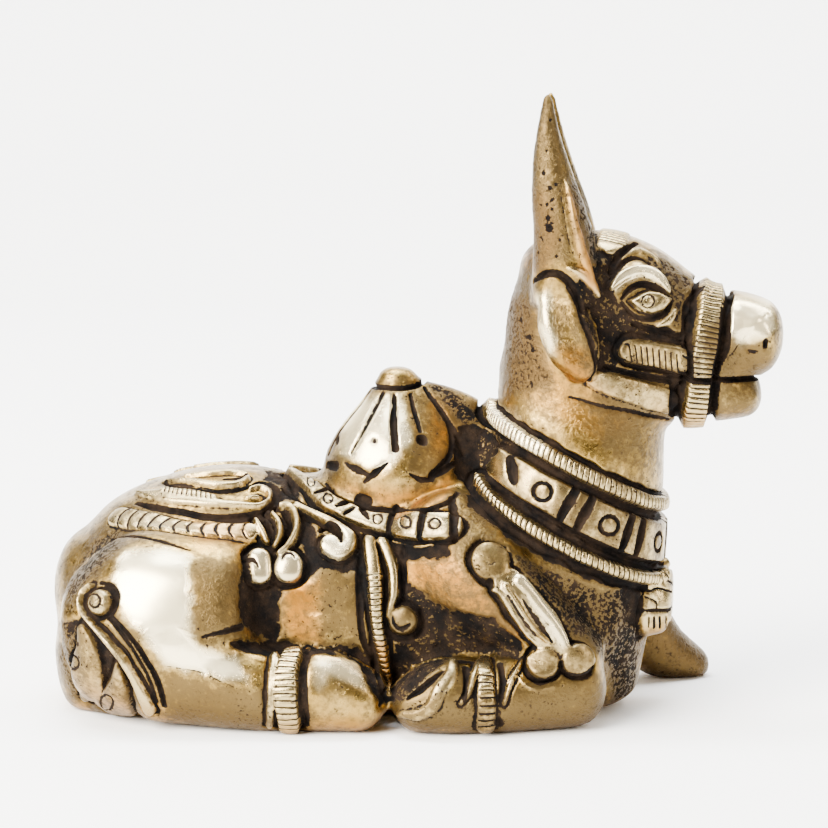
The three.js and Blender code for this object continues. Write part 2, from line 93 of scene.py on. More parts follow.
# %% [markdown]
# The blank is made of swelling forms: trunk, rump, neck, head, legs, ears and horns. Each one
# could be a chain of bridged rings. Here a form starts as a UV sphere, and its circles of latitude
# are laid out along a smooth spine, so the two poles close its ends without any patching.
# A row of a table reads: place x, y, z along the spine, then half height and half width.

# %% Tables of the forms, in millimetres
TORSO = [(-31, 0, 8.9, 8.1, 8.3), (-26, 0, 9.9, 11.3, 11.2), (-19, 0, 10.2, 12.9, 12.4),
         (-11, 0, 10.2, 12.1, 12), (-3, 0, 10, 12.4, 11.7), (5, 0, 10, 13, 11.7),
         (12, 0, 9.8, 12, 11), (17.5, 0, 8.4, 9.6, 9.2)]
RUMP = [(-32.3, 0, 4.6, 6.2, 9.2), (-29.5, 0, 4.8, 7, 10.8), (-23, 0, 5, 7.4, 12)]
NECK = [(12.8, 0, 2.5, 8.4, 7.6), (13.1, 0, 10, 9.5, 10), (14, 0, 17, 9.4, 9.9),
        (14.9, 0, 24, 8.7, 8.9), (15.6, 0, 29, 8.2, 8), (16, 0, 34, 8.3, 7.6),
        (15, 0, 39, 6.8, 7.1), (14.3, 0, 43, 4.8, 6.2)]
CREST = [(-3, 0, 23.5, 8.6, 3.6), (1, 0, 22.5, 8.7, 3.4), (5, 0, 20.8, 8.1, 3.2),
         (9.5, 0, 19.4, 8.6, 3.2)]
HEAD = [(13, 0, 38.5, 7.4, 7), (17, 0, 38, 8.1, 7), (20, 0, 37, 7.8, 6.7),
        (23, 0, 35.7, 7.1, 6.1), (26, 0, 34.6, 6.4, 5.5), (29, 0, 34.3, 5.7, 4.9)]
MUZZLE = [(27.5, 0, 35.6, 5.1, 4.9), (30.5, 0, 36.1, 4.3, 4.8), (33, 0, 36, 3.6, 4.4)]
CHIN = [(15.5, 0, 33.4, 4.4, 7), (20, 0, 31.9, 4, 6.4), (24.5, 0, 30.9, 3.3, 5.2),
        (28.5, 0, 30.4, 2.6, 4.4), (31.2, 0, 30.4, 2.2, 3.8)]
HAUNCH = [(-29.4, -7, 7.8, 7.2, 7.3), (-24.2, -8.9, 9, 9.3, 8), (-17.3, -9.6, 9, 8.7, 7.2)]
HIND_LEG = [(-24, -12.2, 5.1, 4.8, 4.2), (-17, -13.3, 4.3, 4.3, 3.9), (-12, -13.7, 3.7, 3.8, 3.7),
            (-8, -13.7, 3.9, 4, 3.7), (-4.4, -13.4, 2.9, 3.1, 3.4)]
FOLDED_ARM = [(1.5, -6.6, 17, 5.6, 4.6), (6.5, -9.4, 13.4, 5.2, 4.5), (12, -10.3, 9.3, 3.9, 3.9),
              (15.3, -10.4, 6, 3.5, 3.6)]
FOLDED_SHIN = [(14.8, -10.3, 4.2, 4.3, 4.1), (11, -11.6, 3.6, 4, 3.8),
               (6.5, -12.9, 3.2, 3.5, 3.7), (2.8, -13.6, 3.4, 3.7, 3.6), (0.2, -13.6, 2.6, 2.8, 3.3)]
RAISED_ARM = [(3, 7, 16.5, 5.8, 4.6), (10, 10.2, 13.5, 4.9, 4.3), (15.5, 11.3, 12, 4, 3.9),
              (18.9, 11.7, 10.9, 3.4, 3.6)]
RAISED_SHIN = [(18.6, 11.6, 9.4, 3.6, 3.7), (20.8, 12.4, 6, 3.5, 3.5), (23.2, 13.4, 3, 3.1, 3.3),
               (26.4, 14.6, 1.2, 2, 2.8)]
EAR = [(13.1, -7.4, 40.4, 1.4, 1), (13.8, -8.3, 38.5, 2.5, 1.4), (14.9, -8.6, 35.8, 2.6, 1.4),
       (16, -8.2, 33.4, 1.6, 1.1)]
HORN = [(14.2, -5.9, 40, 3.5, 3.1), (13.9, -6.6, 45.6, 2.85, 2.6), (13, -6.8, 50.2, 2.2, 2),
        (12.4, -6.2, 54.6, 1.35, 1.25), (12.3, -5.3, 58.3, 0.6, 0.55)]
PENDANT = [(22.8, 0, 13.6, 1.4, 3), (22.7, 0, 11, 1.5, 4.1), (22.6, 0, 9, 1.5, 4.5),
           (22.5, 0, 8.1, 1.4, 4.5)]
HUMP_CENTRE, HUMP_RADIUS, HUMP_RISE, KNOB_RADIUS = (-2.2, 0, 18.6), 6.7, 14.2, 1.9
HUMP_PROFILE = [(0.6, -0.08), (0.86, 0), (0.97, 0.07), (1.03, 0.15), (1.07, 0.24), (1.08, 0.32),
                (1.04, 0.41), (0.96, 0.49), (0.87, 0.565), (0.7, 0.67), (0.5, 0.78), (0.37, 0.87)]
KNOB_PROFILE = [(1, 0.92), (0.98, 0.97), (0.7, 1)]


def mirrored(rows):
    return [(x, -y, *rest) for x, y, *rest in rows]


# %% A smooth line through a few rows
def flow(rows, shares):
    """Catmull-Rom values at shares from 0 to 1 of the way along the rows."""
    rows = np.asarray(rows, float)
    padded = np.vstack([2 * rows[0] - rows[1], rows, 2 * rows[-1] - rows[-2]])
    place = np.clip(np.asarray(shares, float), 0, 1) * (len(rows) - 1)
    leg = np.minimum(place.astype(int), len(rows) - 2)
    t = (place - leg)[:, None]
    p0, p1, p2, p3 = (padded[leg + i] for i in range(4))
    return 0.5 * (2 * p1 + (p2 - p0) * t + (2 * p0 - 5 * p1 + 4 * p2 - p3) * t ** 2
                  + (3 * p1 - 3 * p2 + p3 - p0) * t ** 3)


# %% A swelling form from a sphere
SIDES, RINGS, DOME = 56, 44, 7


def limb(mesh, rows, domes, power=2.0):
    """Lays the circles of a UV sphere along the rows; the domes are its rounded ends."""
    form = bmesh.new()
    bmesh.ops.create_uvsphere(form, u_segments=SIDES, v_segments=RINGS, radius=1)
    shares = np.linspace(0, 1, RINGS - 2 * DOME + 1)
    spine = flow(rows, shares)
    ahead = np.gradient(spine[:, :3], axis=0)
    for vert in form.verts:
        ring = round(math.acos(max(-1, min(1, vert.co.z))) / math.pi * RINGS)
        turn = math.atan2(vert.co.y, vert.co.x)
        station = min(max(ring - DOME, 0), len(shares) - 1)
        past = ring - DOME if ring < DOME else max(0, ring - RINGS + DOME)
        bend = past / DOME * math.pi / 2
        along = Vector(ahead[station]).normalized()
        across = (Vector((0, 1, 0)) - along * along.y).normalized()
        rise = along.cross(across)
        x, y, z, high, wide = spine[station]
        squared = [math.copysign(abs(v) ** (2 / power), v) for v in (math.sin(turn), math.cos(turn))]
        vert.co = (Vector((x, y, z)) + along * math.sin(bend) * domes[0 if ring < DOME else 1]
                   + rise * high * math.cos(bend) * squared[0]
                   + across * wide * math.cos(bend) * squared[1])
    return add_form(mesh, form)


def add_form(mesh, form):
    """Puts a form into the heap, flat at the ground, and returns its surface for casting rays."""
    for vert in form.verts:
        vert.co.z = max(vert.co.z, 0)
    bmesh.ops.translate(form, verts=form.verts, vec=(SHIFT, 0, 0))
    surface = BVHTree.FromBMesh(form)
    part = bpy.data.meshes.new("form")
    form.to_mesh(part)
    form.free()
    mesh.from_mesh(part)
    bpy.data.meshes.remove(part)
    return surface


# %% [markdown]
# The hump is a turned shape, a dome under a small knob, so it is spun from half of its outline.
# All the forms then overlap like lumps of wax. A voxel remesh melts them into one skin, and a few
# passes of smoothing round the creases between them, as a wax tool would. The horns and ears are
# thin, so they are smoothed less, or they would shrink.

# %% Heap the forms together
def hump(mesh):
    form = bmesh.new()
    outline = [(0, HUMP_PROFILE[0][1] * HUMP_RISE)]
    outline += [(across * HUMP_RADIUS, rise * HUMP_RISE) for across, rise in HUMP_PROFILE]
    outline += [(across * KNOB_RADIUS, rise * HUMP_RISE) for across, rise in KNOB_PROFILE]
    outline += [(0, 1.01 * HUMP_RISE)]
    verts = [form.verts.new((across, 0, rise)) for across, rise in outline]
    edges = [form.edges.new(pair) for pair in zip(verts, verts[1:])]
    bmesh.ops.spin(form, geom=verts + edges, axis=(0, 0, 1), cent=(0, 0, 0), steps=64,
                   angle=2 * math.pi, use_merge=True)
    bmesh.ops.remove_doubles(form, verts=form.verts, dist=1e-5)
    bmesh.ops.translate(form, verts=form.verts, vec=HUMP_CENTRE)
    return add_form(mesh, form)


heap = bmesh.new()
limb(heap, TORSO, (4.5, 3.5), 2.05)
limb(heap, RUMP, (3.2, 2), 2.5)
neck_form = limb(heap, NECK, (3, 3), 2.1)
limb(heap, CREST, (1, 1))
limb(heap, HEAD, (3, 1.5), 2.3)
limb(heap, MUZZLE, (1, 1.8), 2.5)
limb(heap, CHIN, (1, 1.7), 2.3)
for side in (list, mirrored):
    limb(heap, side(HAUNCH), (3, 3.4))
    limb(heap, side(HIND_LEG), (2, 2.3))
    limb(heap, side(EAR), (0.8, 0.8))
    limb(heap, side(HORN), (1, 0.9))
limb(heap, FOLDED_ARM, (3, 2))
limb(heap, FOLDED_SHIN, (3.4, 1.9))
limb(heap, RAISED_ARM, (3, 2))
limb(heap, RAISED_SHIN, (2, 2.2))
limb(heap, PENDANT, (0.4, 0.4), 3)
dome_form = hump(heap)
print("forms heaped together:", len(heap.faces), "faces")

# %% Melt the heap into one skin
VOXEL = 0.3
FILLET = 1.0                 # how far the smoothing reaches, in millimetres
THIN_SHARE = 0.25            # how much of it the horns and ears get
HORN_FOOT, CROWN = 44.5, 17.5             # the horns rise above the first, behind the second
EAR_TIP, BROW, CHEEK = 31.5, 18, 7.6      # the ears likewise, and outside the third


def baked(mesh, modifiers):
    """A mesh with a list of modifiers applied, each given as its type and settings."""
    thing = bpy.data.objects.new("blank", mesh)
    bpy.context.scene.collection.objects.link(thing)
    for kind, settings in modifiers:
        modifier = thing.modifiers.new(kind.lower(), kind)
        for name, value in settings.items():
            setattr(modifier, name, value)
    graph = bpy.context.evaluated_depsgraph_get()
    result = bpy.data.meshes.new_from_object(thing.evaluated_get(graph), depsgraph=graph)
    bpy.data.objects.remove(thing)
    return result


def array_of(collection, attribute):
    """One row of three numbers for each item of a mesh's collection."""
    values = np.zeros(len(collection) * 3, np.float32)
    collection.foreach_get(attribute, values)
    return values.reshape(-1, 3).astype(float)


def neighbours(mesh):
    """Both directions of every edge, and how many neighbours each vertex has."""
    ends = np.zeros(len(mesh.edges) * 2, np.int32)
    mesh.edges.foreach_get("vertices", ends)
    ends = ends.reshape(-1, 2)
    start, end = np.concatenate([ends, ends[:, ::-1]]).T
    return start, end, np.bincount(start, minlength=len(mesh.vertices))[:, None]


def relax(values, links, passes, share):
    """Moves each value towards the mean of its neighbours, again and again."""
    start, end, count = links
    for _ in range(passes):
        mean = np.stack([np.bincount(start, values[end, i], len(values))
                         for i in range(values.shape[1])], 1) / count
        values = values + (mean - values) * share
    return values


heap_mesh = bpy.data.meshes.new("heap")
heap.to_mesh(heap_mesh)
heap.free()
skin = baked(heap_mesh, [("REMESH", {"mode": "VOXEL", "voxel_size": VOXEL})])
spots = array_of(skin.vertices, "co")
x, y, z = spots.T
horns = (z > HORN_FOOT) & (x < SHIFT + CROWN)
ears = (np.abs(y) > CHEEK) & (z > EAR_TIP) & (x < SHIFT + BROW)
passes = round(2 * (FILLET / VOXEL) ** 2)
spots = relax(spots, neighbours(skin), passes, np.where(horns | ears, THIN_SHARE, 1)[:, None] * 0.5)
spots[:, 2] = np.maximum(spots[:, 2], 0)
skin.vertices.foreach_set("co", spots.astype(np.float32).ravel())
print("skin:", len(skin.vertices), "points after", passes, "passes")

# %% A dense blank to chase
blank = baked(skin, [("SUBSURF", {"levels": 1, "render_levels": 1})])
ground = BVHTree.FromPolygons([v.co for v in skin.vertices], [p.vertices for p in skin.polygons])
place = array_of(blank.vertices, "co")
outward = array_of(blank.vertex_normals, "vector")
by_x = np.argsort(place[:, 0])
sorted_x = place[by_x, 0]
print("blank:", len(place), "points")

# %% [markdown]
# A chased line is a path of spots on the blank. On the near flank its marks are looked up through
# the camera, on the far flank the same spots are dropped on from the other side, and a collar or
# anklet is a ring of rays aimed at a point inside. Between its marks a path runs in a smooth curve.

# %% Paths on the blank
PATH_STEP = 0.4
CLEAR_OF_ALL = 60            # a ray that starts this far out meets the outermost skin first


class Path:
    """Spots on the blank with their outward directions and the distance along them."""

    def __init__(self, hits, closed=False):
        self.spots = np.array([hit[0] for hit in hits])
        facing = np.array([hit[1] for hit in hits])
        if closed:
            self.spots = np.vstack([self.spots, self.spots[:1]])
            facing = np.vstack([facing, facing[:1]])
        for _ in range(3):
            facing[1:-1] = (facing[:-2] + 2 * facing[1:-1] + facing[2:]) / 4
        self.facing = facing / np.linalg.norm(facing, axis=1)[:, None]
        lengths = np.linalg.norm(np.diff(self.spots, axis=0), axis=1)
        self.along = np.concatenate([[0], np.cumsum(lengths)])
        self.length = self.along[-1]


def cast(start, direction):
    spot, facing, _, _ = ground.ray_cast(start, direction)
    return None if spot is None else (np.array(spot), np.array(facing))


def look(column, row):
    """The spot on the blank behind a mark of the photograph's frame."""
    half = FRAME_PIXELS / 2
    return cast(eye_point, -back * focal + right * (column - half) + up * (half - row))


def drawn(marks):
    """The marks joined by a smooth curve, one every step."""
    reach = sum(math.dist(a, b) for a, b in zip(marks, marks[1:]))
    count = max(2, round(reach / (PATH_STEP * focal / DISTANCE)))
    return [tuple(mark) for mark in flow(marks, np.linspace(0, 1, count + 1))]


def seen(marks):
    hits = [look(*mark) for mark in drawn(marks)]
    return Path([hit for hit in hits if hit])


def opposite(path):
    """The same line on the far flank."""
    hits = [cast(Vector((x, CLEAR_OF_ALL, z)), Vector((0, -1, 0))) for x, _, z in path.spots]
    return Path([hit for hit in hits if hit])


def both(marks):
    path = seen(marks)
    return [path, opposite(path)]


BURIED = 0.9                 # a spot this far under the skin is hidden by another form


def settled(spot):
    """The nearest spot of the blank, or nothing where the form lies buried."""
    found, facing, _, gap = ground.find_nearest(spot)
    return (np.array(found), np.array(facing)) if gap < BURIED else None


def ring(form, centre, slope=0.0, sag=0.0, upright=False, turn=(0, 360), reach=30):
    """A path around one form, in a plane through its centre that falls by slope towards +X."""
    x, y, z = centre
    centre = Vector((x + SHIFT, y, z))
    hits = []
    for angle in np.radians(np.arange(turn[0], turn[1] + 0.1, 2.5)):
        ahead, aside = math.cos(angle), math.sin(angle)
        away = (Vector((slope * ahead, aside, ahead)) if upright else
                Vector((ahead, aside, -slope * ahead + sag * (ahead * ahead - 0.5))))
        spot = form.ray_cast(centre + away * reach, -away)[0]
        hits.append(settled(spot) if spot else None)
    full = turn[1] - turn[0] == 360
    if full and all(hits):
        return Path(hits[:-1], closed=True)
    if full:
        gap = max(i for i, hit in enumerate(hits) if not hit)
        hits = hits[gap + 1:] + hits[1:gap]
    return Path([hit for hit in hits if hit])


# %% [markdown]
# Chasing raises and lowers the skin. It could be carved with Boolean cutters, but thousands of
# crossing cuts rarely close. Here each path measures how far every nearby point of the blank is
# from it, and a cross-section turns that distance into height: a flat ribbon with rolled edges,
# a round cord, a ball or a cut line. A ribbon also gets a gutter on either side, as the punch
# leaves one, and that is where the patina stays.

# %% Measure from a path, and the layers of the relief
PX = DISTANCE / focal        # one pixel of the photograph on the figure, in millimetres
rise, ditch, cover, cut, tarnish, matted, black_ground_and_painted_shadow, stripe, striped, bulge, painted_warm_reflection, polish_and_painted_highlight, dull_and_painted_shade = \
    np.zeros((13, len(place)))


def smooth(t):
    t = np.clip(t, 0, 1)
    return t * t * (3 - 2 * t)


SEED = 7                     # without one the noise takes the clock, and every run comes out different
seed_set(SEED)


def wander(points, pitch):
    """Smooth random vectors of about unit length that change over the given distance."""
    return np.array([noise_vector(Vector(spot) / pitch) for spot in points])


hand = place + wander(place, 2.2) * 0.09     # a hand-led punch never runs quite true
ragged = place + wander(place, 1.3) * 0.3 + wander(place, 0.5) * 0.2     # and the ground is more ragged
fray = 1 + 0.6 * wander(place, 1.7)[:, 1]    # gutters swell and narrow along their way
SAME_SIDE = 0.15             # skin that faces away more than this lies behind the path, on a thin form


def near(path, reach):
    """Rows of the points near a path: distance along it, off it, and signed to one side."""
    off = np.full(len(place), np.inf)
    along, aside = np.zeros((2, len(place)))
    spots = path.spots if len(path.spots) > 1 else np.vstack([path.spots, path.spots + 1e-4])
    for i in range(len(spots) - 1):
        a, step = spots[i], spots[i + 1] - spots[i]
        face = path.facing[min(i, len(path.facing) - 1)]
        low, high = np.minimum(a, a + step) - reach, np.maximum(a, a + step) + reach
        first, last = np.searchsorted(sorted_x, [low[0], high[0]])
        rows = by_x[first:last]
        around = place[rows]
        rows = rows[((around[:, 1:] > low[1:]) & (around[:, 1:] < high[1:])).all(1)]
        rows = rows[outward[rows] @ face > SAME_SIDE]
        length = max(np.linalg.norm(step), 1e-9)
        share = np.clip((hand[rows] - a) @ step / length ** 2, 0, 1)
        gap = hand[rows] - a - share[:, None] * step
        distance = np.linalg.norm(gap, axis=1)
        closer = distance < off[rows]
        rows = rows[closer]
        off[rows] = distance[closer]
        along[rows] = path.along[min(i, len(path.along) - 1)] + share[closer] * length
        aside[rows] = gap[closer] @ np.cross(face, step / length)
    rows = np.flatnonzero(off < reach)
    return rows, along[rows], off[rows], aside[rows]


# %% Cross-sections
ROLL = 0.2


def width_along(path, along, widths):
    """Half the width at each place along a path; the widths are in the photograph's pixels."""
    share = along / max(path.length, 1e-6)
    return PX / 2 * np.interp(share, np.linspace(0, 1, len(widths)), widths)


def gutter_around(rows, past, gutter, sink):
    """A trench with a flat, dark bottom beside raised work."""
    inside = smooth((1 - np.abs(past / (gutter * fray[rows]) * 2 - 1)) / 0.5)
    ditch[rows] = np.maximum(ditch[rows], sink * inside)


def ribbon(paths, widths, proud=0.55, gutter=0.5, sink=0.45, crown=0.25, hatch=None, bow=0.0, lean=0.0,
           bite=0.12):
    """A raised strap. Hatch is the pitch of its cross cuts, bow bends them into scales."""
    for path in paths:
        rows, along, off, aside = near(path, max(widths) * PX / 2 + gutter * 1.6 + 0.1)
        half = np.maximum(width_along(path, along, widths), 0.05)
        inside = smooth((half - off) / ROLL)
        dome = np.sqrt(np.clip(1 - (off / half) ** 2, 0, 1))
        rise[rows] = np.maximum(rise[rows], proud * inside * (1 - crown + crown * dome))
        cover[rows] = np.maximum(cover[rows], inside)
        if sink:
            gutter_around(rows, off - half, gutter, sink)
        if hatch:
            pitch = path.length / round(path.length / hatch)
            phase = (along + bow * (aside / half) ** 2 + lean * aside) / pitch
            mine = (inside > 0.05) | (striped[rows] == 0)
            stripe[rows[mine]] = phase[mine]
            striped[rows] = np.maximum(striped[rows], smooth((half - off) / 0.12))
            tooth = np.clip(1 - np.abs(phase % 1 - 0.5) / 0.3, 0, 1) * inside
            cut[rows] = np.maximum(cut[rows], bite * tooth)


def ball(paths, radius, proud=0.8, gutter=0.5, sink=0.5, flat=0.8):
    """A round bead in its own gutter; the radius is in pixels, and a small flat makes it a disc."""
    for path in paths:
        rows, _, off, _ = near(path, radius * PX + gutter * 1.6 + 0.1)
        dome = np.sqrt(np.clip(1 - (off / radius / PX) ** 2, 0, 1))
        rise[rows] = np.maximum(rise[rows], proud * dome ** flat)
        cover[rows] = np.maximum(cover[rows], smooth((radius * PX - off) / ROLL))
        gutter_around(rows, off - radius * PX, gutter, sink)


def groove(paths, widths, depth=0.45, dark=1.0):
    """A cut with a flat bottom, tarnished there; its widths along the way are in pixels."""
    for path in paths:
        rows, along, off, _ = near(path, max(widths) * PX / 2 + 0.1)
        half = np.maximum(width_along(path, along, widths), 0.05)
        cut[rows] = np.maximum(cut[rows], depth * smooth((half - off) / np.minimum(half, 0.3)))
        tarnish[rows] = np.maximum(tarnish[rows], dark * smooth((half + 0.04 - off) / 0.14))


def swell(paths, radius, amount):
    """A broad, soft bulge, or a dent where the amount is negative."""
    for path in paths:
        rows, _, off, _ = near(path, radius)
        bulge[rows] += amount * np.clip(1 - (off / radius) ** 2, 0, 1) ** 2


def coil(centre, radii, turns, start=0.0):
    """Marks of a spiral in the photograph's frame, from the first radius to the last."""
    count = max(8, round(abs(turns) * 14))
    angles = math.radians(start) + np.linspace(0, turns * 2 * math.pi, count + 1)
    return [(centre[0] + r * math.cos(a), centre[1] + r * math.sin(a))
            for r, a in zip(np.linspace(*radii, count + 1), angles)]


def punch(centre, radius=5.3, width=2.6, depth=0.18, sides=both):
    """A ring left by a hollow punch."""
    groove(sides(coil(centre, (radius, radius), 1)), (width, width), depth)


def dot(centre, width, depth=0.3, sides=both, long=0.6):
    """A small pit; long stretches it downwards, in pixels."""
    groove(sides([centre, (centre[0], centre[1] + long)]), (width, width), depth)


def only_near(marks):
    return [seen(marks)]


# %% [markdown]
# Between the ornaments lies the ground. The chaser lowered it with a matting punch, so it is
# pebbled and stays black, with a few bright flecks where the cloth could reach. Such a patch is
# an outline drawn in the photograph's frame, laid on every point that is seen from that side.
# A few such patches are painted shadow instead: black laid where the figure is shaded.

# %% Patches of matted ground
HIDDEN = 0.8                 # a point this far behind the first skin met is out of sight


def sight(side):
    """Column, row and visibility of every point, from the camera or from its mirrored place."""
    flip = np.array([1, -side, 1])
    eye = np.array(eye_point) * flip
    towards = ragged - eye
    depth = np.linalg.norm(towards, axis=1)
    turned = towards * flip
    scale = focal / -(turned @ np.array(back))
    column = FRAME_PIXELS / 2 + turned @ np.array(right) * scale
    row = FRAME_PIXELS / 2 - turned @ np.array(up) * scale
    facing = (towards * outward).sum(1) < 0
    start = Vector(eye)
    for i in np.flatnonzero(facing):
        hit = ground.ray_cast(start, Vector(towards[i]))
        facing[i] = hit[3] is None or hit[3] > depth[i] - HIDDEN
    return column, row, facing


SIGHTS = {-1: sight(-1), 1: sight(1)}


def patch(outline, soft, sides=(-1, 1)):
    """Rows and strength of the seen points inside an outline with an edge some pixels soft."""
    corners = np.array(outline, float)
    low, high = corners.min(0) - soft, corners.max(0) + soft
    for side in sides:
        column, row, visible = SIGHTS[side]
        rows = np.flatnonzero(visible & (column > low[0]) & (column < high[0])
                              & (row > low[1]) & (row < high[1]))
        spots = np.stack([column[rows], row[rows]], 1)
        inside = np.zeros(len(rows), bool)
        gap = np.full(len(rows), np.inf)
        for a, b in zip(corners, np.roll(corners, -1, 0)):
            step = b - a
            share = np.clip((spots - a) @ step / (step @ step), 0, 1)
            gap = np.minimum(gap, np.linalg.norm(spots - a - share[:, None] * step, axis=1))
            crossing = (a[1] > spots[:, 1]) != (b[1] > spots[:, 1])
            with np.errstate(divide="ignore", invalid="ignore"):
                inside ^= crossing & (spots[:, 0] < a[0] + (spots[:, 1] - a[1]) * step[0] / step[1])
        yield rows, smooth(0.5 + np.where(inside, gap, -gap) / soft / 2)


def lowered(outline, depth=0.4, matt=1.0, soft=3.5, dark=0.0, sides=(-1, 1)):
    """Ground beaten down around the ornament and pebbled; dark lays black on it, which in some patches is
    painted shadow.
    """
    for rows, strength in patch(outline, soft, sides):
        ditch[rows] = np.maximum(ditch[rows], depth * strength)
        matted[rows] = np.maximum(matted[rows], matt * strength)
        black_ground_and_painted_shadow[rows] = np.maximum(black_ground_and_painted_shadow[rows], dark * strength)


def toned(layer, outline, amount=1.0, soft=8.0, sides=(-1, 1)):
    for rows, strength in patch(outline, soft, sides):
        layer[rows] = np.maximum(layer[rows], amount * strength)


# %% [markdown]
# The collar is three belts around the neck: two hatched ropes, and between them a belt of plates
# with ringed studs and pairs of dark slots. They are true rings, so they close under the nape.

# %% Collar
COLLAR_SLOPE = 0.515
top_rope = ring(neck_form, (15.2, 0, 24.2), COLLAR_SLOPE)
plate_belt = ring(neck_form, (14.9, 0, 20.65), COLLAR_SLOPE, turn=(-142, 142))
foot_rope = ring(neck_form, (14.4, 0, 17.1), COLLAR_SLOPE, sag=0.05)
ribbon([top_rope], [16], 0.7, 0.6, 0.55, 0.4, hatch=0.56, lean=0.25, bite=0.12)
ribbon([plate_belt], [32, 39, 43, 39, 32], 0.55, 0.6, 0.6, 0.1)
ribbon([foot_rope], [14], 0.75, 0.8, 0.6, 0.4, hatch=0.56, lean=0.25, bite=0.12)
groove([ring(neck_form, (14.6, 0, 18.5), COLLAR_SLOPE, turn=(-142, 142))], [9], 0.3)


def belt_marks(path, at, marks):
    """A small path drawn on a belt, with marks in millimetres along and across it."""
    i = min(max(np.searchsorted(path.along, at), 1), len(path.along) - 1)
    spot = np.array([np.interp(at, path.along, path.spots[:, k]) for k in range(3)])
    ahead = path.spots[i] - path.spots[i - 1]
    ahead /= np.linalg.norm(ahead)
    face = path.facing[i]
    across = np.cross(face, ahead)
    hits = [cast(Vector(spot + ahead * a + across * b + face * 3), Vector(-face)) for a, b in marks]
    return [Path([hit for hit in hits if hit])]


PLATE_PITCH, STUD_RADIUS, SLOT_REACH = 6.85, 0.88, 1.55
SLOTS, FIRST_SLOTS = (0.38, 0.63), (0.29, 0.53)     # how far on to the next stud each pair is cut
UNEVEN_PLATE = -2            # high on the neck, where the slots splay; those are drawn singly below
STUD_RING = [(STUD_RADIUS * math.cos(a), STUD_RADIUS * math.sin(a))
             for a in np.linspace(0, 2 * math.pi, 17)]
first_stud = look(608.4, 523.2)[0]
first = plate_belt.along[np.argmin(np.linalg.norm(plate_belt.spots - first_stud, axis=1))]
plates = 0
for i in range(-20, 20):
    at = first + i * PLATE_PITCH
    if 1 < at < plate_belt.length - 1:
        groove(belt_marks(plate_belt, at, STUD_RING), [4.4, 4.4], 0.4)
        plates += 1
    for share in FIRST_SLOTS if i == 0 else SLOTS:
        slot = at + share * PLATE_PITCH
        if i != UNEVEN_PLATE and 1 < slot < plate_belt.length - 1:
            groove(belt_marks(plate_belt, slot, [(0, -SLOT_REACH), (0, 0), (0, SLOT_REACH)]),
                   [8, 11, 9], 0.5)
print("collar:", plates, "studs")
groove(both([(500, 452), (495, 456), (490, 463)]), [8, 10, 9], 0.5)
groove(both([(513, 461), (515, 470), (517, 481)]), [11, 15, 10], 0.5)

# %% Dark ground around the collar
# Painted shade: black in the recess between the dome and the collar, over lowered ground.
lowered([(459, 426), (474, 424), (486, 432), (481, 452), (478, 468), (482, 489), (470, 486),
         (458, 478), (455, 456)], 0.35, 0.35, dark=1)
lowered([(488, 430), (540, 452), (566, 468), (548, 470), (510, 452), (488, 446)], 0.15, 0.7)
lowered([(470, 490), (500, 506), (540, 532), (580, 552), (628, 568), (634, 586), (600, 584),
         (560, 566), (520, 545), (488, 520), (468, 504)], 0.2, 0.2, dark=1)
lowered([(474, 428), (492, 434), (510, 450), (524, 462), (514, 482), (496, 478), (480, 464)], 0.3, 0.9)
lowered([(504, 545), (560, 572), (600, 590), (634, 586), (642, 640), (634, 700), (614, 706), (608, 668),
         (600, 655), (588, 640), (568, 638), (554, 616), (534, 588), (520, 568)],
        0.14, 0.85, soft=8, dark=0.12)
# Painted shadow: black on the chest beside the pendant.
lowered([(622, 580), (640, 584), (644, 600), (640, 628), (626, 626)], 0.35, 0.2, dark=1)

# %% [markdown]
# The halter is a noseband, a band over the forehead, and on each cheek a hatched strap over a
# plain one along the jaw. Black ground sets it off from the face.

# %% Halter
CLEAR_OF_MUZZLE = 9          # far enough out for the muzzle, but not down at the breast
noseband = ring(ground, (27.1, 0, 34.4), 0.13, upright=True, reach=CLEAR_OF_MUZZLE)
ribbon([noseband], [25], 0.6, 0.9, 0.6, 0.15, hatch=0.48, bite=0.16)
forehead = ring(ground, (16.2, 0, 39), 0.36, upright=True, turn=(-33, 33))
ribbon([forehead], [30], 0.22, 0.3, 0, 0.15, hatch=0.46)
ribbon(both([(630, 350), (656, 354.5), (680, 360)]), [24, 26, 27], 0.5, 0.6, 0.6, 0.1)
ribbon(both([(626, 352), (656, 357.5), (680, 363)]), [19, 20, 20], 0.55, 0.2, 0, 0.1, hatch=0.6,
       lean=0.35, bite=0.16)
groove(both([(688.5, 342), (690, 356), (689.5, 374)]), [6, 7, 7], 0.5)
ribbon(both([(596, 380), (632, 391), (668, 402)]), [20, 26, 27], 0.35, 0.3, 0, 0.3)
groove(both([(606, 367), (640, 375), (682, 384)]), [6, 8, 8], 0.6)
groove(both([(569, 397), (605, 406), (668, 419.5)]), [3, 4, 4.5], 0.25, 0.8)
groove(both([(675, 386), (675, 400), (675, 414)]), [12, 15, 14], 0.6)
groove(both([(634, 325), (658, 332), (682, 338)]), [7, 9, 9], 0.5)
groove(both([(700, 288), (688, 305), (686, 323), (683, 340)]), [8, 9, 9, 8], 0.5)
groove(both([(731, 294), (725, 314), (722, 340), (716, 366), (713, 384), (710, 416)]),
       [9, 10, 9, 9, 9, 9], 0.5)
lowered([(578, 286), (600, 262), (612, 262), (612, 290), (622, 306), (640, 322), (656, 326),
         (684, 334), (684, 340), (640, 338), (624, 340), (620, 358), (612, 372), (600, 374),
         (597, 345), (586, 318)], 0.35, 1.0)
lowered([(655, 264), (672, 282), (684, 300), (682, 322), (672, 326), (674, 300), (664, 280)], 0.1, 0.7)
groove(both([(612, 272), (618, 256), (636, 243)]), [9, 9, 6], 0.45)
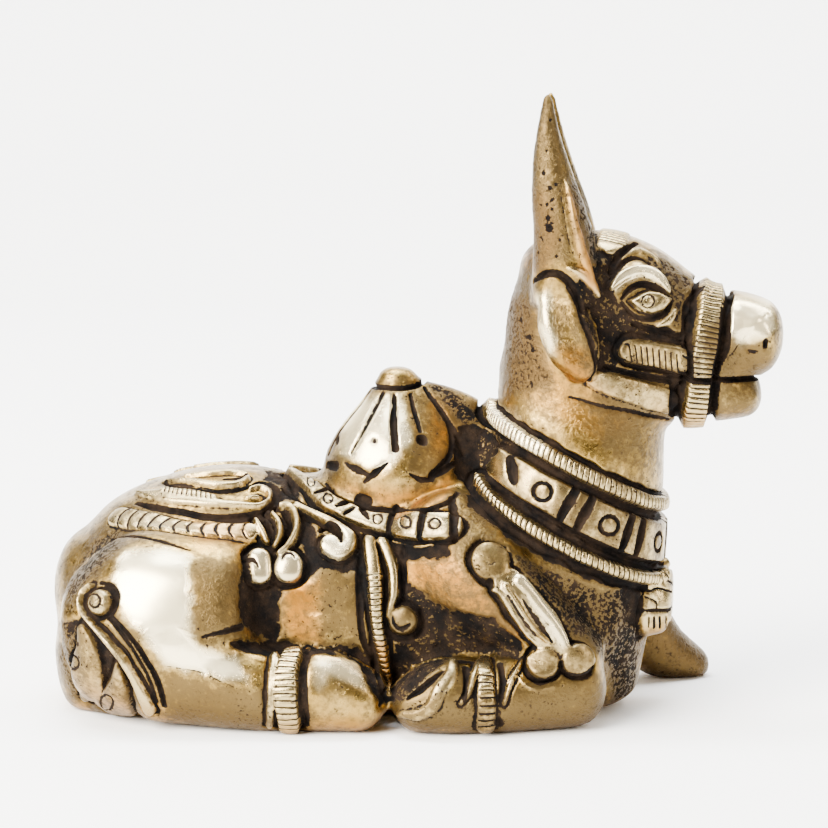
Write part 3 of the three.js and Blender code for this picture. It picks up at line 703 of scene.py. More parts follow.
lowered([(590, 226), (600, 238), (610, 246), (622, 250), (614, 264), (600, 264), (592, 256)], 0.2, 1.0)

# %% [markdown]
# The eye is an almond with a ringed pupil, under a thick lid and a brow, each in a dark furrow.

# %% Eyes and brows
ribbon(both([(612, 288), (617, 281.5), (625, 275), (637, 271), (650, 272.5), (660, 280), (668, 292)]),
       [7, 11, 13, 13, 13, 12, 7], 0.55, 0.3, 0, 0.45)
groove(both([(612, 279), (616, 271), (624, 262), (633, 257.5), (643, 259), (653, 265)]),
       [5, 7, 7, 5.5, 4, 2], 0.4)
ribbon(both([(627, 255), (637, 250), (648, 253.5), (657, 261), (664, 270)]), [4, 8, 7, 5, 3], 0.25, 0.2,
       0, 0.5)
groove(both([(622, 298), (628, 290), (637, 285), (648, 284), (658.5, 288.5), (667, 297)]),
       [4, 7, 8, 8, 7, 4], 0.5)
ribbon(both([(629, 300.5), (638, 302), (647, 302.5), (658, 302), (671.5, 299.5)]), [2, 17, 24, 19, 2],
       0.65, 0.3, 0.2, 0.7)
groove(both([(622, 302), (634, 315.5), (649, 319.5), (664, 314), (672, 303)]), [4, 5, 6, 7, 4], 0.45)
punch((646.6, 302), 6.5, 2.6, 0.2)
lowered([(650, 252), (672, 262), (692, 280), (686, 300), (682, 324), (672, 328), (674, 304), (664, 284),
         (656, 272), (644, 262)], 0.12, 0.9, soft=4)
ribbon(both([(656, 327), (668, 321), (675, 311)]), [5, 10, 7], 0.25, 0.3, 0, 0.6)

# %% [markdown]
# The muzzle is plain and polished, and its top gets a painted highlight. The mouth could be modelled
# as a gap between two lips, but on the casting it is one cut line, and each nostril is a single deep
# stroke of a punch.

# %% Muzzle: mouth, nostrils and the fold above the lip
mouth = ring(ground, (28, 0, 32.3), 0.03, turn=(-128, 128))
groove([mouth], [6.5], 0.8)
dot((765.5, 341), 6.5, 0.5, long=5)
groove(both([(768, 314), (749, 333), (727, 360)]), [2, 3, 2], 0.12, 0.15)
groove(both([(749, 351), (753, 352.5), (757, 352)]), [2, 3.5, 2], 0.15)
swell(both([(745, 345), (736, 362)]), 1.8, -0.3)
swell(both([(757, 325), (764, 333)]), 1.6, 0.25)

# %% [markdown]
# The ears are leaves with a raised rim, tucked under the horns, and each horn stands in a
# dark furrow. The horn itself is pitted, with one long ridge down its front.

# %% Ears and horns
groove(both([(533, 281), (547, 274), (563, 276.5), (576, 292), (584, 310)]), [5, 8, 9, 10, 9], 0.6)
groove(both([(566, 287), (577, 303), (583, 321), (592, 343), (596, 368), (588, 380)]), [3, 5, 7, 8, 6, 3],
       0.45)
swell(both([(543, 298), (546, 322), (552, 350)]), 1.1, 0.22)
groove(both([(549, 296), (553, 322), (558, 350)]), [1.5, 2, 1.5], 0.06, 0.2)
swell(both([(558, 300), (566, 325), (576, 350)]), 1.8, -0.3)
swell(both([(566, 362), (578, 372)]), 2.2, 0.3)
ribbon(both([(565, 178), (571, 205), (579, 238), (589, 270), (593, 288)]), [3, 7, 9, 11, 7],
       0.35, 0.2, 0, 0.8)
ribbon(both([(568, 268), (580, 272), (592, 284), (598, 296)]), [4, 12, 14, 8], 0.3, 0.3, 0, 0.8)
groove(both([(560, 186), (564, 214), (569, 240), (576, 262)]), [1.5, 3, 4, 2], 0.12, 0.3)
lowered([(568, 172), (579, 186), (590, 216), (601, 250), (600, 266), (592, 262), (586, 238),
         (576, 206)], 0.1, 0.95)
for column, row, size in [(543.6, 173, 4), (550, 188, 4.5), (548, 218, 6), (549, 228, 8), (553, 199, 3),
                          (556, 184, 3), (547, 204, 3.2), (552, 209, 3), (541, 237, 3), (546, 150, 2.6),
                          (551, 120, 3), (541, 205, 2.6), (560, 240, 3), (556, 256, 3.4), (538, 252, 3),
                          (511, 309, 5), (521, 320, 5), (529, 337, 6), (532, 350, 5), (531, 383, 4)]:
    dot((column, row), size, 0.24)

# %% [markdown]
# The hump is a dome with a knob, cut by long flutes that widen downwards, with punched eyes
# between them and a row of leaf-shaped cuts above its smooth rim.

# %% Hump
def on_hump(angle, rise_share):
    """A spot on the dome at a turn about its axis."""
    out = Vector((math.cos(angle), math.sin(angle), 0))
    centre = Vector(HUMP_CENTRE) + Vector((SHIFT, 0, rise_share * HUMP_RISE))
    spot = dome_form.ray_cast(centre + out * HUMP_RADIUS * 3, -out)[0]
    return settled(spot) if spot else None


def dome_path(marks):
    hits = [hit for hit in (on_hump(*mark) for mark in marks) if hit]
    return [Path(hits)] if len(hits) > 1 else []


groove(both([(382, 394), (367, 424), (350.5, 453)]), [5.5, 6, 3], 0.45)
groove(both([(393.7, 395), (394, 425), (395, 449)]), [6, 9, 8.5], 0.5)
groove(both([(410, 394), (415, 414), (420, 431)]), [4, 6, 5], 0.45)
groove(both([(438, 406), (447, 420), (452, 438), (449, 458), (430, 475)]), [4, 6, 7, 8, 5], 0.45)
for turn in np.radians((20, -20, 48, 76, 172, 198, -198)):
    groove(dome_path([(turn, h) for h in np.linspace(0.84, 0.42, 9)]), [5, 7, 6], 0.4)
groove(dome_path([(a, 0.875) for a in np.linspace(0, 2 * math.pi, 40)]), [7], 0.5)
dot((422, 439.5), 13, 0.6)
dot((337, 439), 7, 0.35, long=4)
groove(both([(374.3, 440), (374.3, 442)]), [8, 8], 0.22, 0.35)
for marks, widths in (([(327, 465), (336, 466)], [9, 11]),
                      ([(344, 462.5), (356, 469.5), (370, 476)], [3, 9, 4]),
                      ([(364, 482), (375.6, 473), (388, 463)], [4, 9, 3]),
                      ([(409, 474), (420, 480), (433, 480)], [3, 6, 5]),
                      ([(430, 478), (440, 473), (456, 463)], [5, 9, 6])):
    groove(both(marks), widths, 0.35)
groove(both([(326, 483), (334, 495), (350, 503), (372, 508), (400, 510), (425, 509), (447, 503),
             (458, 492)]), [3, 5, 6, 6, 5, 6, 7, 5], 0.45)
groove(both([(360, 499), (366, 502)]), [12, 14], 0.35)
# Painted shade on the right side of the dome, over matted ground.
lowered([(424, 372), (440, 384), (460, 398), (478, 410), (486, 420), (470, 424), (458, 420), (446, 404),
         (430, 392)], 0.08, 0.7, soft=6, dark=0.3)

# %% [markdown]
# A saddle cloth shows under the hump only as its border, a row of ringed plates parted by slots.
# From it hang a hatched girth ribbon, a plain one that ends in a curl, and a large scroll.

# %% Saddle border
ribbon(both([(290, 474), (300, 480), (311.5, 488.5), (328, 503), (345, 511.5), (362, 519), (379, 523.5),
             (409, 526), (437, 526.5), (449, 526)]),
       [11, 14, 18, 20, 20, 19, 23, 27, 28, 28], 0.65, 0.5, 0.5, 0.1)
for centre, size in (((311, 487.5), 4.4), ((328.5, 503), 4.8), ((378.5, 522.8), 5.2),
                     ((409.6, 525), 5.2), ((436.6, 525.8), 5.4)):
    punch(centre, size)
for marks, widths in (([(290, 481), (296, 493)], [6, 7]),
                      ([(315, 498), (325, 495), (333, 490.5)], [4, 7, 4]),
                      ([(337, 510), (345, 507), (353, 503)], [5, 8, 5]),
                      ([(344.5, 517), (349, 515), (354, 511.5)], [5, 6, 4]),
                      ([(362, 513), (365, 517), (369, 523)], [7, 7, 3]),
                      ([(396, 508), (393, 521), (389.5, 536)], [9, 9, 8]),
                      ([(426, 510), (424, 524), (421, 540)], [8, 8, 7]),
                      ([(452, 498), (454, 518), (454, 540)], [8, 10, 9])):
    groove(both(marks), widths, 0.5)
groove(both([(283, 487), (300, 501.5), (318, 510.5), (335, 520), (351, 530), (361, 535), (386, 538)]),
       [5, 5, 5, 4.5, 4.5, 4.5, 3], 0.55)
# Painted shadow: a black band below the saddle border.
lowered([(388, 541), (400, 545), (424, 549), (447, 542), (451, 556), (436, 560), (421, 556), (409, 562),
         (396, 556)], 0.35, 0.35, dark=0.8)
lowered([(455, 500), (466, 500), (488, 520), (500, 540), (478, 545), (462, 556), (454, 548)], 0.06, 0.6,
        soft=7)

# %% Girth ribbons and the large scroll
ribbon(both([(369.5, 540), (372.5, 559), (374.5, 576)]), [13, 15, 15], 0.65, 0.5, 0.45, 0.35)
ribbon(both([(374, 572), (376, 600), (379.5, 637), (385, 665), (390, 695)]),
       [15, 14, 12.5, 10, 2], 0.65, 0.5, 0.45, 0.35, hatch=0.56, bite=0.08)
ribbon(both([(382, 541), (389, 557), (394, 575), (394, 592), (391, 606), (389, 616)]),
       [12, 13, 12, 10, 8], 0.6, 0.4, 0.4, 0.6)
ball(both([(402.5, 620.5), (403, 620.5)]), 14.5, 0.85, 0.7, 0.55)
groove(both([(393, 616), (396, 624), (403, 627.5), (410, 623)]), [2, 4, 5, 3], 0.3)
ribbon(both([(296, 507), (309, 513), (325, 520), (341, 528), (350, 537), (348, 548), (340, 552),
             (331, 546)]), [8, 8, 8.5, 10, 13, 14, 17, 22], 0.7, 0.45, 0.45, 0.45)
groove(both([(321, 531), (326.5, 527), (335, 529), (340, 536)]), [7, 8, 8, 8], 0.6)
# Matted ground, and a painted shadow in black below the scroll's lobe.
lowered([(301, 512), (314, 520), (317, 545), (322, 558), (336, 563), (350, 560), (358, 552), (362, 560),
         (361, 570), (340, 572), (322, 568), (308, 574), (300, 545)], 0.3, 0.5, dark=0.7)
groove(both([(360, 537), (360, 574), (360, 612), (364, 641), (375, 666), (384, 692)]),
       [6, 9, 8, 7, 7, 8], 0.4)
groove(both([(378, 545), (384, 574), (385, 604)]), [4, 6, 5], 0.4)
groove(both([(401, 548), (403, 572), (402, 600)]), [8, 10, 8], 0.35)
groove(both([(420, 610), (421, 625), (414, 638)]), [6, 8, 5], 0.4)

# %% [markdown]
# Behind the saddle the crupper strap runs back over the haunch, cut into scales, under a long
# hatched leaf whose stem curls over. Two scrolls with beads hang where they meet.

# %% Crupper, leaves and hanging scrolls
ribbon(both([(118, 516.5), (130, 519), (152, 523.5), (180, 528), (207, 531), (238, 532.5),
             (250, 532)]),
       [23, 25, 25, 23, 22, 21, 20], 0.35, 0.3, 0.1, 0.3, hatch=1.33, bow=-0.5, bite=0.08)
groove(both([(110, 539), (129, 536), (151, 539), (171, 544.5), (191, 549.5)]), [5, 5, 5, 5, 2], 0.35)
ribbon(both([(136, 493.5), (152, 496), (178, 499), (210, 503), (238, 505.5), (257, 507), (268, 501.5),
             (268.5, 493), (260, 488), (250, 490)]),
       [3, 12, 18, 19, 15, 10, 8, 7, 6.5, 6], 0.5, 0.35, 0, 0.35)
ribbon(both([(247, 498), (258, 498.5)]), [5, 6], 0.5, 0.2, 0, 0.6)
ribbon(both([(165, 493), (188, 496), (214, 499.5)]), [10, 12, 9], 0.58, 0.1, 0, 0.15, hatch=0.5, lean=0.35)
groove(both([(137, 503), (152, 507), (179.5, 512), (207, 516.5), (235, 518), (263, 513.5), (277, 501),
             (276, 488), (263, 482), (250, 485.5), (236, 490.5), (216, 492), (190, 488), (169, 486)]),
       [5, 9, 9, 9, 9, 12, 12, 11, 9, 6, 5, 5, 4, 3], 0.5)
ribbon(both([(166, 482), (190, 483), (216, 486), (236, 485), (247, 478.5), (238, 474), (212, 475),
             (186, 478)]), [4, 8, 8, 6, 6], 0.45, 0.3, 0.15, 0.5)
groove(both([(243, 502), (252, 503.2), (260.5, 503), (264.5, 498.5), (261, 494), (252, 493.8)]),
       [2, 3, 4, 4, 3.5, 2.5], 0.35)
groove(both([(224, 479.5), (234, 479), (246, 477.5)]), [4, 6, 5], 0.35)
groove(both([(165, 483), (176, 488), (199, 490.5), (226, 490.5), (243, 487)]), [6, 5, 4.5, 6, 6], 0.35)
ribbon(both([(279, 507), (289, 508), (296, 517), (296.5, 531), (288, 547), (279, 554)]),
       [7, 9, 9, 9, 8], 0.7, 0.4, 0.5, 0.5)
ribbon(both([(268, 511), (278, 522), (280, 534), (275, 547)]), [6, 7, 8, 6], 0.6, 0.3, 0.45, 0.5)
ribbon(both([(255, 519), (261, 530), (266.5, 542)]), [6, 8, 7], 0.55, 0.35, 0.4, 0.5)
groove(both([(283, 513), (289, 525), (285, 539), (279, 547)]), [5, 9, 8, 4], 0.5)
groove(both([(265, 518), (268.5, 528), (272, 539)]), [6, 8, 5], 0.5)
ball(both([(289, 566), (288, 569)]), 15, 0.95, 0.6, 0.6)
groove(both([(282, 561), (286, 555.5), (293, 556), (296, 561)]), [3, 4, 2], 0.28)
ball(both([(259, 560), (259.5, 573)]), 12.5, 0.85, 0.6, 0.6)
groove(both([(245, 560), (251, 563), (256, 569)]), [5, 6, 4], 0.4)
# Black ground between the thigh and the belly, partly painted shade.
lowered([(246, 548), (262, 552), (308, 556), (309, 572), (300, 578), (283, 588), (279, 600), (280, 632),
         (274, 642), (256, 632), (243, 624), (240, 600), (243, 575)], 0.35, 0.7, dark=0.5)
lowered([(268, 470), (284, 474), (300, 486), (296, 500), (282, 500), (280, 486), (264, 478)], 0.2, 0.6,
        dark=0.9)
print("relief so far, mm:", round(rise.max(), 2), "up and", round((ditch + cut).max(), 2), "down")

# %% [markdown]
# On the near haunch the tail comes round in two ribs from a curled bead, over two petals.
# The folded foreleg carries a disc and a forked ribbon with two beads. The far foreleg is
# stretched forward and stays plain, apart from the same disc.

# %% Tail and petals
ribbon(only_near([(92, 585.5), (85, 592), (81.5, 603), (84, 613), (94, 625), (105.5, 638), (124, 660),
                  (137, 682), (150, 709)]), [5, 6, 6, 7, 9, 10, 10, 12, 13], 0.65, 0.35, 0.3, 0.6)
ball(only_near([(100, 602), (100.5, 602)]), 12.5, 0.85, 0.5, 0.4)
groove(only_near(coil((98, 603), (9, 4), 1.1, 150)), [2.5], 0.25)
groove(only_near([(100, 582), (112, 585.5), (117.5, 596), (114, 610), (108, 618)]), [4, 6, 7, 7, 5], 0.5)
groove(only_near([(109, 617), (127, 641), (141, 664), (151, 686), (156, 702)]), [6, 5, 4, 4, 5], 0.45)
groove(only_near([(112, 616), (135, 643), (150, 667), (160, 689), (164, 706)]), [4, 6, 7, 7, 6], 0.5)
ribbon(only_near([(83, 630), (87, 648), (88, 664), (87, 680), (86, 696)]),
       [14, 34, 40, 34, 14], 0.5, 0.4, 0.4, 0.8)
ribbon(only_near([(118, 664), (118, 685), (116, 706)]), [6, 30, 44], 0.6, 0.5, 0.5, 0.8)
punch((76, 661), 6.5, 2.4, sides=only_near)
punch((109, 697.8), 7, 2.4, sides=only_near)
dot((80.5, 643), 4, 0.25, sides=only_near)
for outline in ([(98, 640), (108, 644), (120, 664), (112, 668), (104, 680), (96, 674), (96, 656)],
                [(84, 682), (96, 678), (94, 694), (90, 706), (78, 698)],
                [(64, 622), (84, 616), (92, 626), (84, 634), (68, 634)]):
    lowered(outline, 0.25, 0.6, dark=0.4, sides=(-1,))
lowered([(118, 520), (124, 544), (110, 560), (96, 578), (84, 588), (78, 604), (68, 612), (62, 590),
         (80, 556), (100, 532)], 0.08, 0.8, soft=10, dark=0.3)

# %% Foreleg disc, forked ribbon and beads
ball(both([(490.5, 561), (491, 561)]), 18.5, 0.6, 0.6, 0.6, flat=0.2)
groove(only_near([(486, 563), (489.5, 567), (494, 564)]), [2], 0.1, 0.5)
ribbon(only_near([(508, 582), (527, 606), (545, 630), (556, 648)]), [30, 38, 38, 28], 0.4, 0.5, 0.45, 0.1)
ribbon(only_near([(519, 581), (538, 604), (556, 629), (566, 648)]), [15, 14, 12, 11], 0.75, 0.1, 0, 0.8)
ribbon(only_near([(505, 586), (518, 607), (533, 627), (547, 640)]), [9, 9, 8, 7], 0.7, 0.1, 0, 0.8)
ribbon(only_near([(494, 590), (503, 594), (514, 613), (526, 631), (538, 642)]),
       [6, 9, 8, 7, 4], 0.55, 0.1, 0, 0.6)
groove(only_near([(522, 600), (538, 622), (552, 642)]), [3, 8, 4], 0.15, 0.3)
groove(only_near([(508, 595), (521, 615), (536, 634)]), [2.5, 3, 2.5], 0.2, 0.8)
ball(only_near([(542.5, 663), (543, 663)]), 16, 0.8, 0.4, 0.5, flat=0.2)
ball(only_near([(577.5, 660), (578, 660)]), 15.5, 0.8, 0.4, 0.5, flat=0.2)
ribbon(only_near([(518, 676), (527, 686), (540, 689), (554, 686)]), [3, 4, 4, 3], 0.25, 0.2, 0, 0.6)
groove(only_near([(528, 677), (540, 682.5), (552, 679)]), [3, 6, 4], 0.45)
groove(only_near([(566, 674), (580, 676), (593, 664)]), [4, 6, 5], 0.45)
lowered([(409, 583), (421, 593), (442, 608), (462, 614), (496, 621), (509, 634), (522, 648), (520, 660),
         (506, 656), (480, 652), (452, 654), (436, 664), (412, 690), (392, 704), (388, 670), (396, 645),
         (418, 640), (422, 612), (402, 604)], 0.3, 1.0, dark=0.25, soft=4)
lowered([(230, 643), (262, 640), (283, 640), (300, 645), (360, 648), (374, 672), (388, 704), (380, 706),
         (360, 664), (346, 654), (300, 653), (240, 652)], 0.3, 0.6, dark=0.3)

# %% [markdown]
# Hatched anklets close round the folded legs, over hooves with a few curled cuts, and a fringed
# pendant hangs from the collar. Marks seen from the side can't reach the pendant's front, so its
# lines there are cast from ahead of the figure, and those on its near edge are mirrored.

# %% Anklets, hooves and pendant
ribbon(both([(292, 654), (287.5, 668), (286, 685), (286, 705), (289, 727)]), [22, 23, 23], 0.5, 0.55, 0.5,
       0.2, hatch=0.58)
groove(both([(309, 653), (305, 672), (305, 700), (307, 726)]), [7, 5, 8, 8], 0.4)
ribbon(both([(275, 655), (272, 680), (270, 726)]), [10, 9, 8], 0.3, 0.35, 0.35, 0.5)
ribbon(only_near([(486, 674), (486.5, 700), (486, 727)]), [16, 17, 17], 0.4, 0.3, 0.15, 0.3, hatch=0.72,
       bite=0.16)
ribbon(only_near([(484, 660), (485.5, 674), (486, 727)]), [13, 18, 20], 0.35, 0.4, 0.12, 0.3)
groove(only_near([(498, 721), (500, 725)]), [8, 8], 0.3)
groove(only_near([(465.5, 668), (466, 684), (464, 699)]), [8, 6, 4], 0.45)
groove(only_near([(458, 661), (472, 662)]), [9, 9], 0.45)
groove(only_near([(500, 664), (503, 682), (500, 700)]), [7, 7, 5], 0.4)
groove(only_near([(407, 699), (421, 689), (433, 679), (443, 671)]), [4, 9, 8, 3], 0.5)
ribbon(only_near([(400, 714), (418, 715), (433, 706), (440, 690), (451, 676), (453, 661)]),
       [8, 13, 14, 15, 13, 10], 0.4, 0.3, 0, 0.9)
ribbon(only_near([(461, 704), (469, 692), (474, 676), (478, 663)]), [4, 7, 8, 8], 0.35, 0.25, 0.2, 0.9)
ribbon(only_near([(522, 660), (512, 680), (504, 703)]), [4, 6, 4], 0.3, 0.3, 0.2, 0.9)
groove(both([(203, 637), (220, 633), (242, 627)]), [3, 5, 8], 0.35)
groove(both([(159, 664.5), (180, 668), (198, 671), (216, 679), (237, 689)]),
       [1.5, 2.5, 2.5, 3, 1.5], 0.1, 0.6)
swell(both([(165, 655), (190, 662), (220, 674)]), 2.4, 0.25)


def across_breast(marks):
    """A line on the near side of the pendant, and its mirror image on the far side."""
    path = seen(marks)
    hits = [settled(Vector((x, -y, z))) for x, y, z in path.spots]
    return [path, Path([hit for hit in hits if hit])]


def from_ahead(marks):
    """A line on the front of the pendant, its marks given across and up in millimetres."""
    marks = flow(marks, np.linspace(0, 1, 13))
    hits = [cast(Vector((CLEAR_OF_ALL, y, z)), Vector((-1, 0, 0))) for y, z in marks]
    return [Path([hit for hit in hits if hit])]


ribbon(across_breast([(654, 584), (655, 604), (656, 628)]), [26, 31, 33], 0.4, 0.5, 0.45, 0.1)
ribbon(from_ahead([(-3.2, 10.8), (0, 10.8), (3.2, 10.8)]), [46, 52, 46], 0.4, 0.3, 0, 0.1)
for line, width in (([(643, 592), (655, 588), (668, 592)], 3), ([(645, 597), (655, 602), (655, 609)], 2),
                    ([(643, 609.5), (655, 610), (669, 609)], 4)):
    groove(across_breast(line), [width, width], 0.3)
for column in (648, 653, 658, 663):
    groove(across_breast([(column, 616), (column, 626)]), [2.6, 2.6], 0.3)
groove(from_ahead([(-3.6, 10), (0, 10.1), (3.6, 10)]), [4, 4], 0.3)
groove(from_ahead([(-2.8, 12.6), (0, 11.6), (2.8, 12.6)]), [3, 3], 0.3)
for across in (-3, -2, -1, 0, 1, 2, 3):
    groove(from_ahead([(across, 9.5), (across, 8.3)]), [2.6, 2.6], 0.3)

# %% [markdown]
# Hands polish a brass unevenly. The thigh, the hump and the muzzle are polished and get a painted
# highlight in near-white cream. Other zones get a painted warm reflection in orange, others a painted
# shade that darkens and dulls them, and some ground keeps fine black specks. That could be painted on
# a texture, but soft outlines that store one number for each point need no unwrapping.

# %% Zones of painted warm reflection, of polish with painted highlight, of painted shade, and of matting
NAPE = [(505, 290), (530, 300), (540, 350), (556, 384), (508, 392)]
FAR_FOOT = [(640, 630), (668, 620), (708, 652), (708, 680), (640, 680)]
LONG_PETAL = [(62, 620), (90, 624), (104, 660), (96, 700), (70, 700), (58, 660)]
SHORT_PETAL = [(112, 664), (136, 700), (132, 718), (92, 708)]
FAR_FLANK_SHARE = 0.4        # the painted highlight is laid at this share, with a softer edge, on the far flank
# Painted reflection: these zones get a warm orange that stands in for a warm reflection.
for outline, amount in (
        ([(283, 590), (300, 578), (321, 578), (321, 643), (297, 642), (283, 632)], 1.0),
        ([(409, 562), (421, 556), (450, 548), (480, 585), (517, 629), (520, 646), (496, 621), (442, 608),
          (409, 582)], 1.0),
        ([(330, 484), (400, 490), (452, 478), (450, 508), (375, 508)], 0.9),
        ([(430, 392), (460, 400), (470, 470), (440, 480)], 0.7),
        ([(505, 300), (530, 330), (560, 372), (600, 384), (640, 425), (600, 440), (560, 420),
          (508, 390)], 0.5),
        ([(530, 190), (548, 190), (560, 240), (545, 272), (528, 270)], 0.9),
        ([(560, 345), (590, 352), (592, 384), (566, 384)], 0.9),
        ([(375, 640), (390, 640), (392, 690), (384, 690)], 0.8),
        ([(566, 190), (575, 190), (596, 270), (598, 292), (584, 290)], 0.9),
        ([(190, 516), (250, 520), (250, 545), (200, 545)], 0.5),
        (NAPE, 1.0),
        (FAR_FOOT, 0.5)):
    toned(painted_warm_reflection, outline, amount)
# Painted highlight: these polished zones get a near-white cream that stands in for the window's
# reflection.
for outline, amount in (
        ([(122, 552), (170, 550), (188, 562), (187, 602), (191, 640), (198, 650), (236, 660), (244, 682),
          (205, 674), (163, 661), (148, 640), (126, 612), (114, 580)], 1.0),
        ([(345, 400), (400, 395), (410, 440), (385, 470), (340, 455)], 0.65),
        ([(728, 296), (770, 300), (776, 330), (740, 345), (726, 330)], 0.75),
        ([(612, 290), (618, 276), (638, 264), (656, 268), (668, 290), (658, 284), (640, 276),
          (622, 284)], 0.7),
        ([(538, 294), (547, 292), (552, 325), (557, 352), (550, 358), (541, 330)], 0.6),
        ([(490, 404), (506, 408), (548, 446), (540, 458), (494, 428)], 0.5),
        ([(322, 538), (346, 530), (352, 546), (338, 560), (324, 554)], 0.7),
        ([(248, 548), (272, 556), (302, 552), (304, 580), (250, 584)], 0.4),
        ([(512, 576), (524, 576), (574, 644), (560, 650), (536, 618)], 0.45),
        ([(316, 660), (358, 660), (366, 690), (350, 684), (330, 676), (316, 690)], 0.5)):
    toned(polish_and_painted_highlight, outline, amount, soft=5, sides=(-1,))
    toned(polish_and_painted_highlight, outline, amount * FAR_FLANK_SHARE, soft=14, sides=(1,))
# Painted shade: these zones are darkened and dulled, partly dull metal, partly painted shade.
for outline, amount in (
        ([(193, 562), (241, 560), (240, 630), (203, 638), (193, 640)], 1.0),
        ([(165, 672), (216, 684), (262, 696), (264, 726), (168, 722)], 1.0),
        ([(430, 380), (452, 390), (480, 412), (490, 424), (462, 424), (446, 404)], 1.0),
        ([(410, 446), (450, 440), (452, 480), (410, 470)], 0.8),
        ([(472, 544), (510, 544), (510, 580), (472, 580)], 0.9),
        ([(526, 645), (594, 645), (594, 680), (526, 680)], 0.7),
        ([(520, 590), (530, 590), (560, 640), (545, 645)], 0.9),
        ([(388, 606), (420, 606), (420, 638), (388, 638)], 0.9),
        ([(324, 566), (356, 574), (358, 644), (324, 643)], 0.8),
        ([(596, 384), (668, 396), (672, 440), (640, 470), (600, 450)], 0.6),
        ([(612, 600), (640, 640), (640, 706), (612, 704)], 0.8),
        (LONG_PETAL, 1.0),
        (SHORT_PETAL, 1.0),
        ([(500, 446), (540, 462), (600, 492), (670, 520), (670, 562), (600, 550), (540, 520),
          (504, 480)], 0.5),
        (NAPE, 1.0),
        ([(520, 100), (560, 100), (566, 250), (520, 290)], 0.8),
        ([(700, 322), (735, 332), (768, 352), (762, 374), (708, 376)], 1.0),
        ([(396, 700), (500, 690), (604, 676), (606, 730), (396, 732)], 0.9),
        (FAR_FOOT, 1.0),
        ([(590, 374), (676, 388), (676, 424), (600, 410)], 0.6),
        ([(622, 338), (688, 350), (688, 378), (622, 366)], 0.8)):
    toned(dull_and_painted_shade, outline, amount, soft=6)
for outline, amount in (
        ([(500, 286), (528, 272), (533, 300), (538, 340), (552, 376), (560, 392), (508, 396),
          (498, 340)], 0.75),
        ([(530, 100), (550, 96), (566, 180), (562, 230), (570, 262), (540, 272), (528, 262),
          (526, 190)], 0.55),
        ([(420, 545), (480, 545), (500, 590), (524, 632), (516, 646), (496, 628), (450, 612),
          (420, 590)], 0.4),
        ([(640, 630), (668, 616), (712, 652), (712, 684), (640, 684)], 0.5),
        ([(716, 336), (740, 350), (768, 360), (764, 378), (706, 380), (708, 350)], 0.5),
        ([(700, 384), (760, 384), (756, 420), (700, 422)], 0.4),
        ([(396, 706), (500, 696), (604, 686), (606, 730), (396, 734)], 0.45),
        ([(548, 300), (572, 302), (590, 340), (592, 372), (566, 376), (556, 350)], 0.6),
        ([(592, 374), (676, 390), (676, 424), (600, 408)], 0.45),
        (LONG_PETAL, 0.85),
        (SHORT_PETAL, 0.85),
        ([(196, 562), (241, 560), (240, 640), (203, 640)], 0.35),
        ([(165, 680), (216, 690), (262, 702), (264, 730), (168, 726)], 0.35),
        ([(520, 390), (600, 408), (664, 426), (664, 470), (600, 450), (530, 410)], 0.3)):
    toned(matted, outline, amount, soft=8)

# %% [markdown]
# All the layers are added up along the outward directions. Raised work covers the gutters of
# its neighbours, and cuts go through everything. The whole skin is a little uneven, as wax pressed
# by fingers is. A measure of hollowness is then taken by comparing each point with a much relaxed
# copy of the surface: the deep places hold the patina.

# %% Press the relief into the blank
open_ground = 1 - cover
uneven = (wander(place, 4.5)[:, 0] * 0.09 + wander(place, 1.6)[:, 1] * 0.025) * (1 - 0.6 * polish_and_painted_highlight)
pebbles = wander(place, 0.5)[:, 2] * 0.1 * matted * open_ground
height = rise - ditch * open_ground - cut + bulge + uneven + pebbles
pressed = place + outward * height[:, None]
pressed[:, 2] = np.maximum(pressed[:, 2], 0)
links = neighbours(blank)
pressed = relax(pressed, links, 1, 0.3)
pressed[:, 2] = np.maximum(pressed[:, 2], 0)
blank.vertices.foreach_set("co", pressed.astype(np.float32).ravel())


def hollowness(passes, full):
    """How deep each point lies, in shares of a full hollow in millimetres, and 0.5 where it is level."""
    gap = relax(pressed, links, passes, 0.6) - pressed
    return 0.5 + (gap * outward).sum(1) / full


# The patina layer also carries the painted shadow of the dark patches.
patina_and_painted_shadow = np.maximum(tarnish, open_ground * np.maximum(black_ground_and_painted_shadow, smooth(ditch / 0.35)))
spread_patina_and_shadow = relax(patina_and_painted_shadow[:, None], links, round(2.5 / VOXEL ** 2), 0.6)[:, 0]
LAYERS = {
    "patina_and_painted_shadow": patina_and_painted_shadow,
    "spread_patina_and_shadow": spread_patina_and_shadow / 0.6,
    "fine": hollowness(8, 0.2),
    "broad": hollowness(60, 1.2),
    "matted": matted * open_ground,
    "raised": cover,
    "stripe": stripe,
    "striped": striped,
    # Painted reflection: undersides get warm orange too, more the more they face down.
    "painted_warm_reflection": np.maximum(painted_warm_reflection, 0.4 * smooth((-outward[:, 2] - 0.1) / 0.8)),
    "polish_and_painted_highlight": polish_and_painted_highlight,
    "dull_and_painted_shade": dull_and_painted_shade,
}
for name, values in LAYERS.items():
    layer = blank.attributes.new(name, "FLOAT", "POINT")
    values = values if name == "stripe" else np.clip(values, 0, 1)
    layer.data.foreach_set("value", np.asarray(values, np.float32))
print("share of the skin under patina:", round(float(np.mean(LAYERS["patina_and_painted_shadow"] > 0.5)), 3))

# %% Thin the mesh where it is plain
TRIANGLES = 196000
whole = baked(blank, [("TRIANGULATE", {})])
share = min(1, TRIANGLES / len(whole.polygons))
figure_mesh = baked(whole, [("DECIMATE", {"ratio": share})])

# %% [markdown]
# Where three lumps of wax meet, a bubble can stay sealed inside. The remesh leaves such bubbles
# too. Nobody would see one, but it would be a stray shell in the mesh, so only the skin is kept.

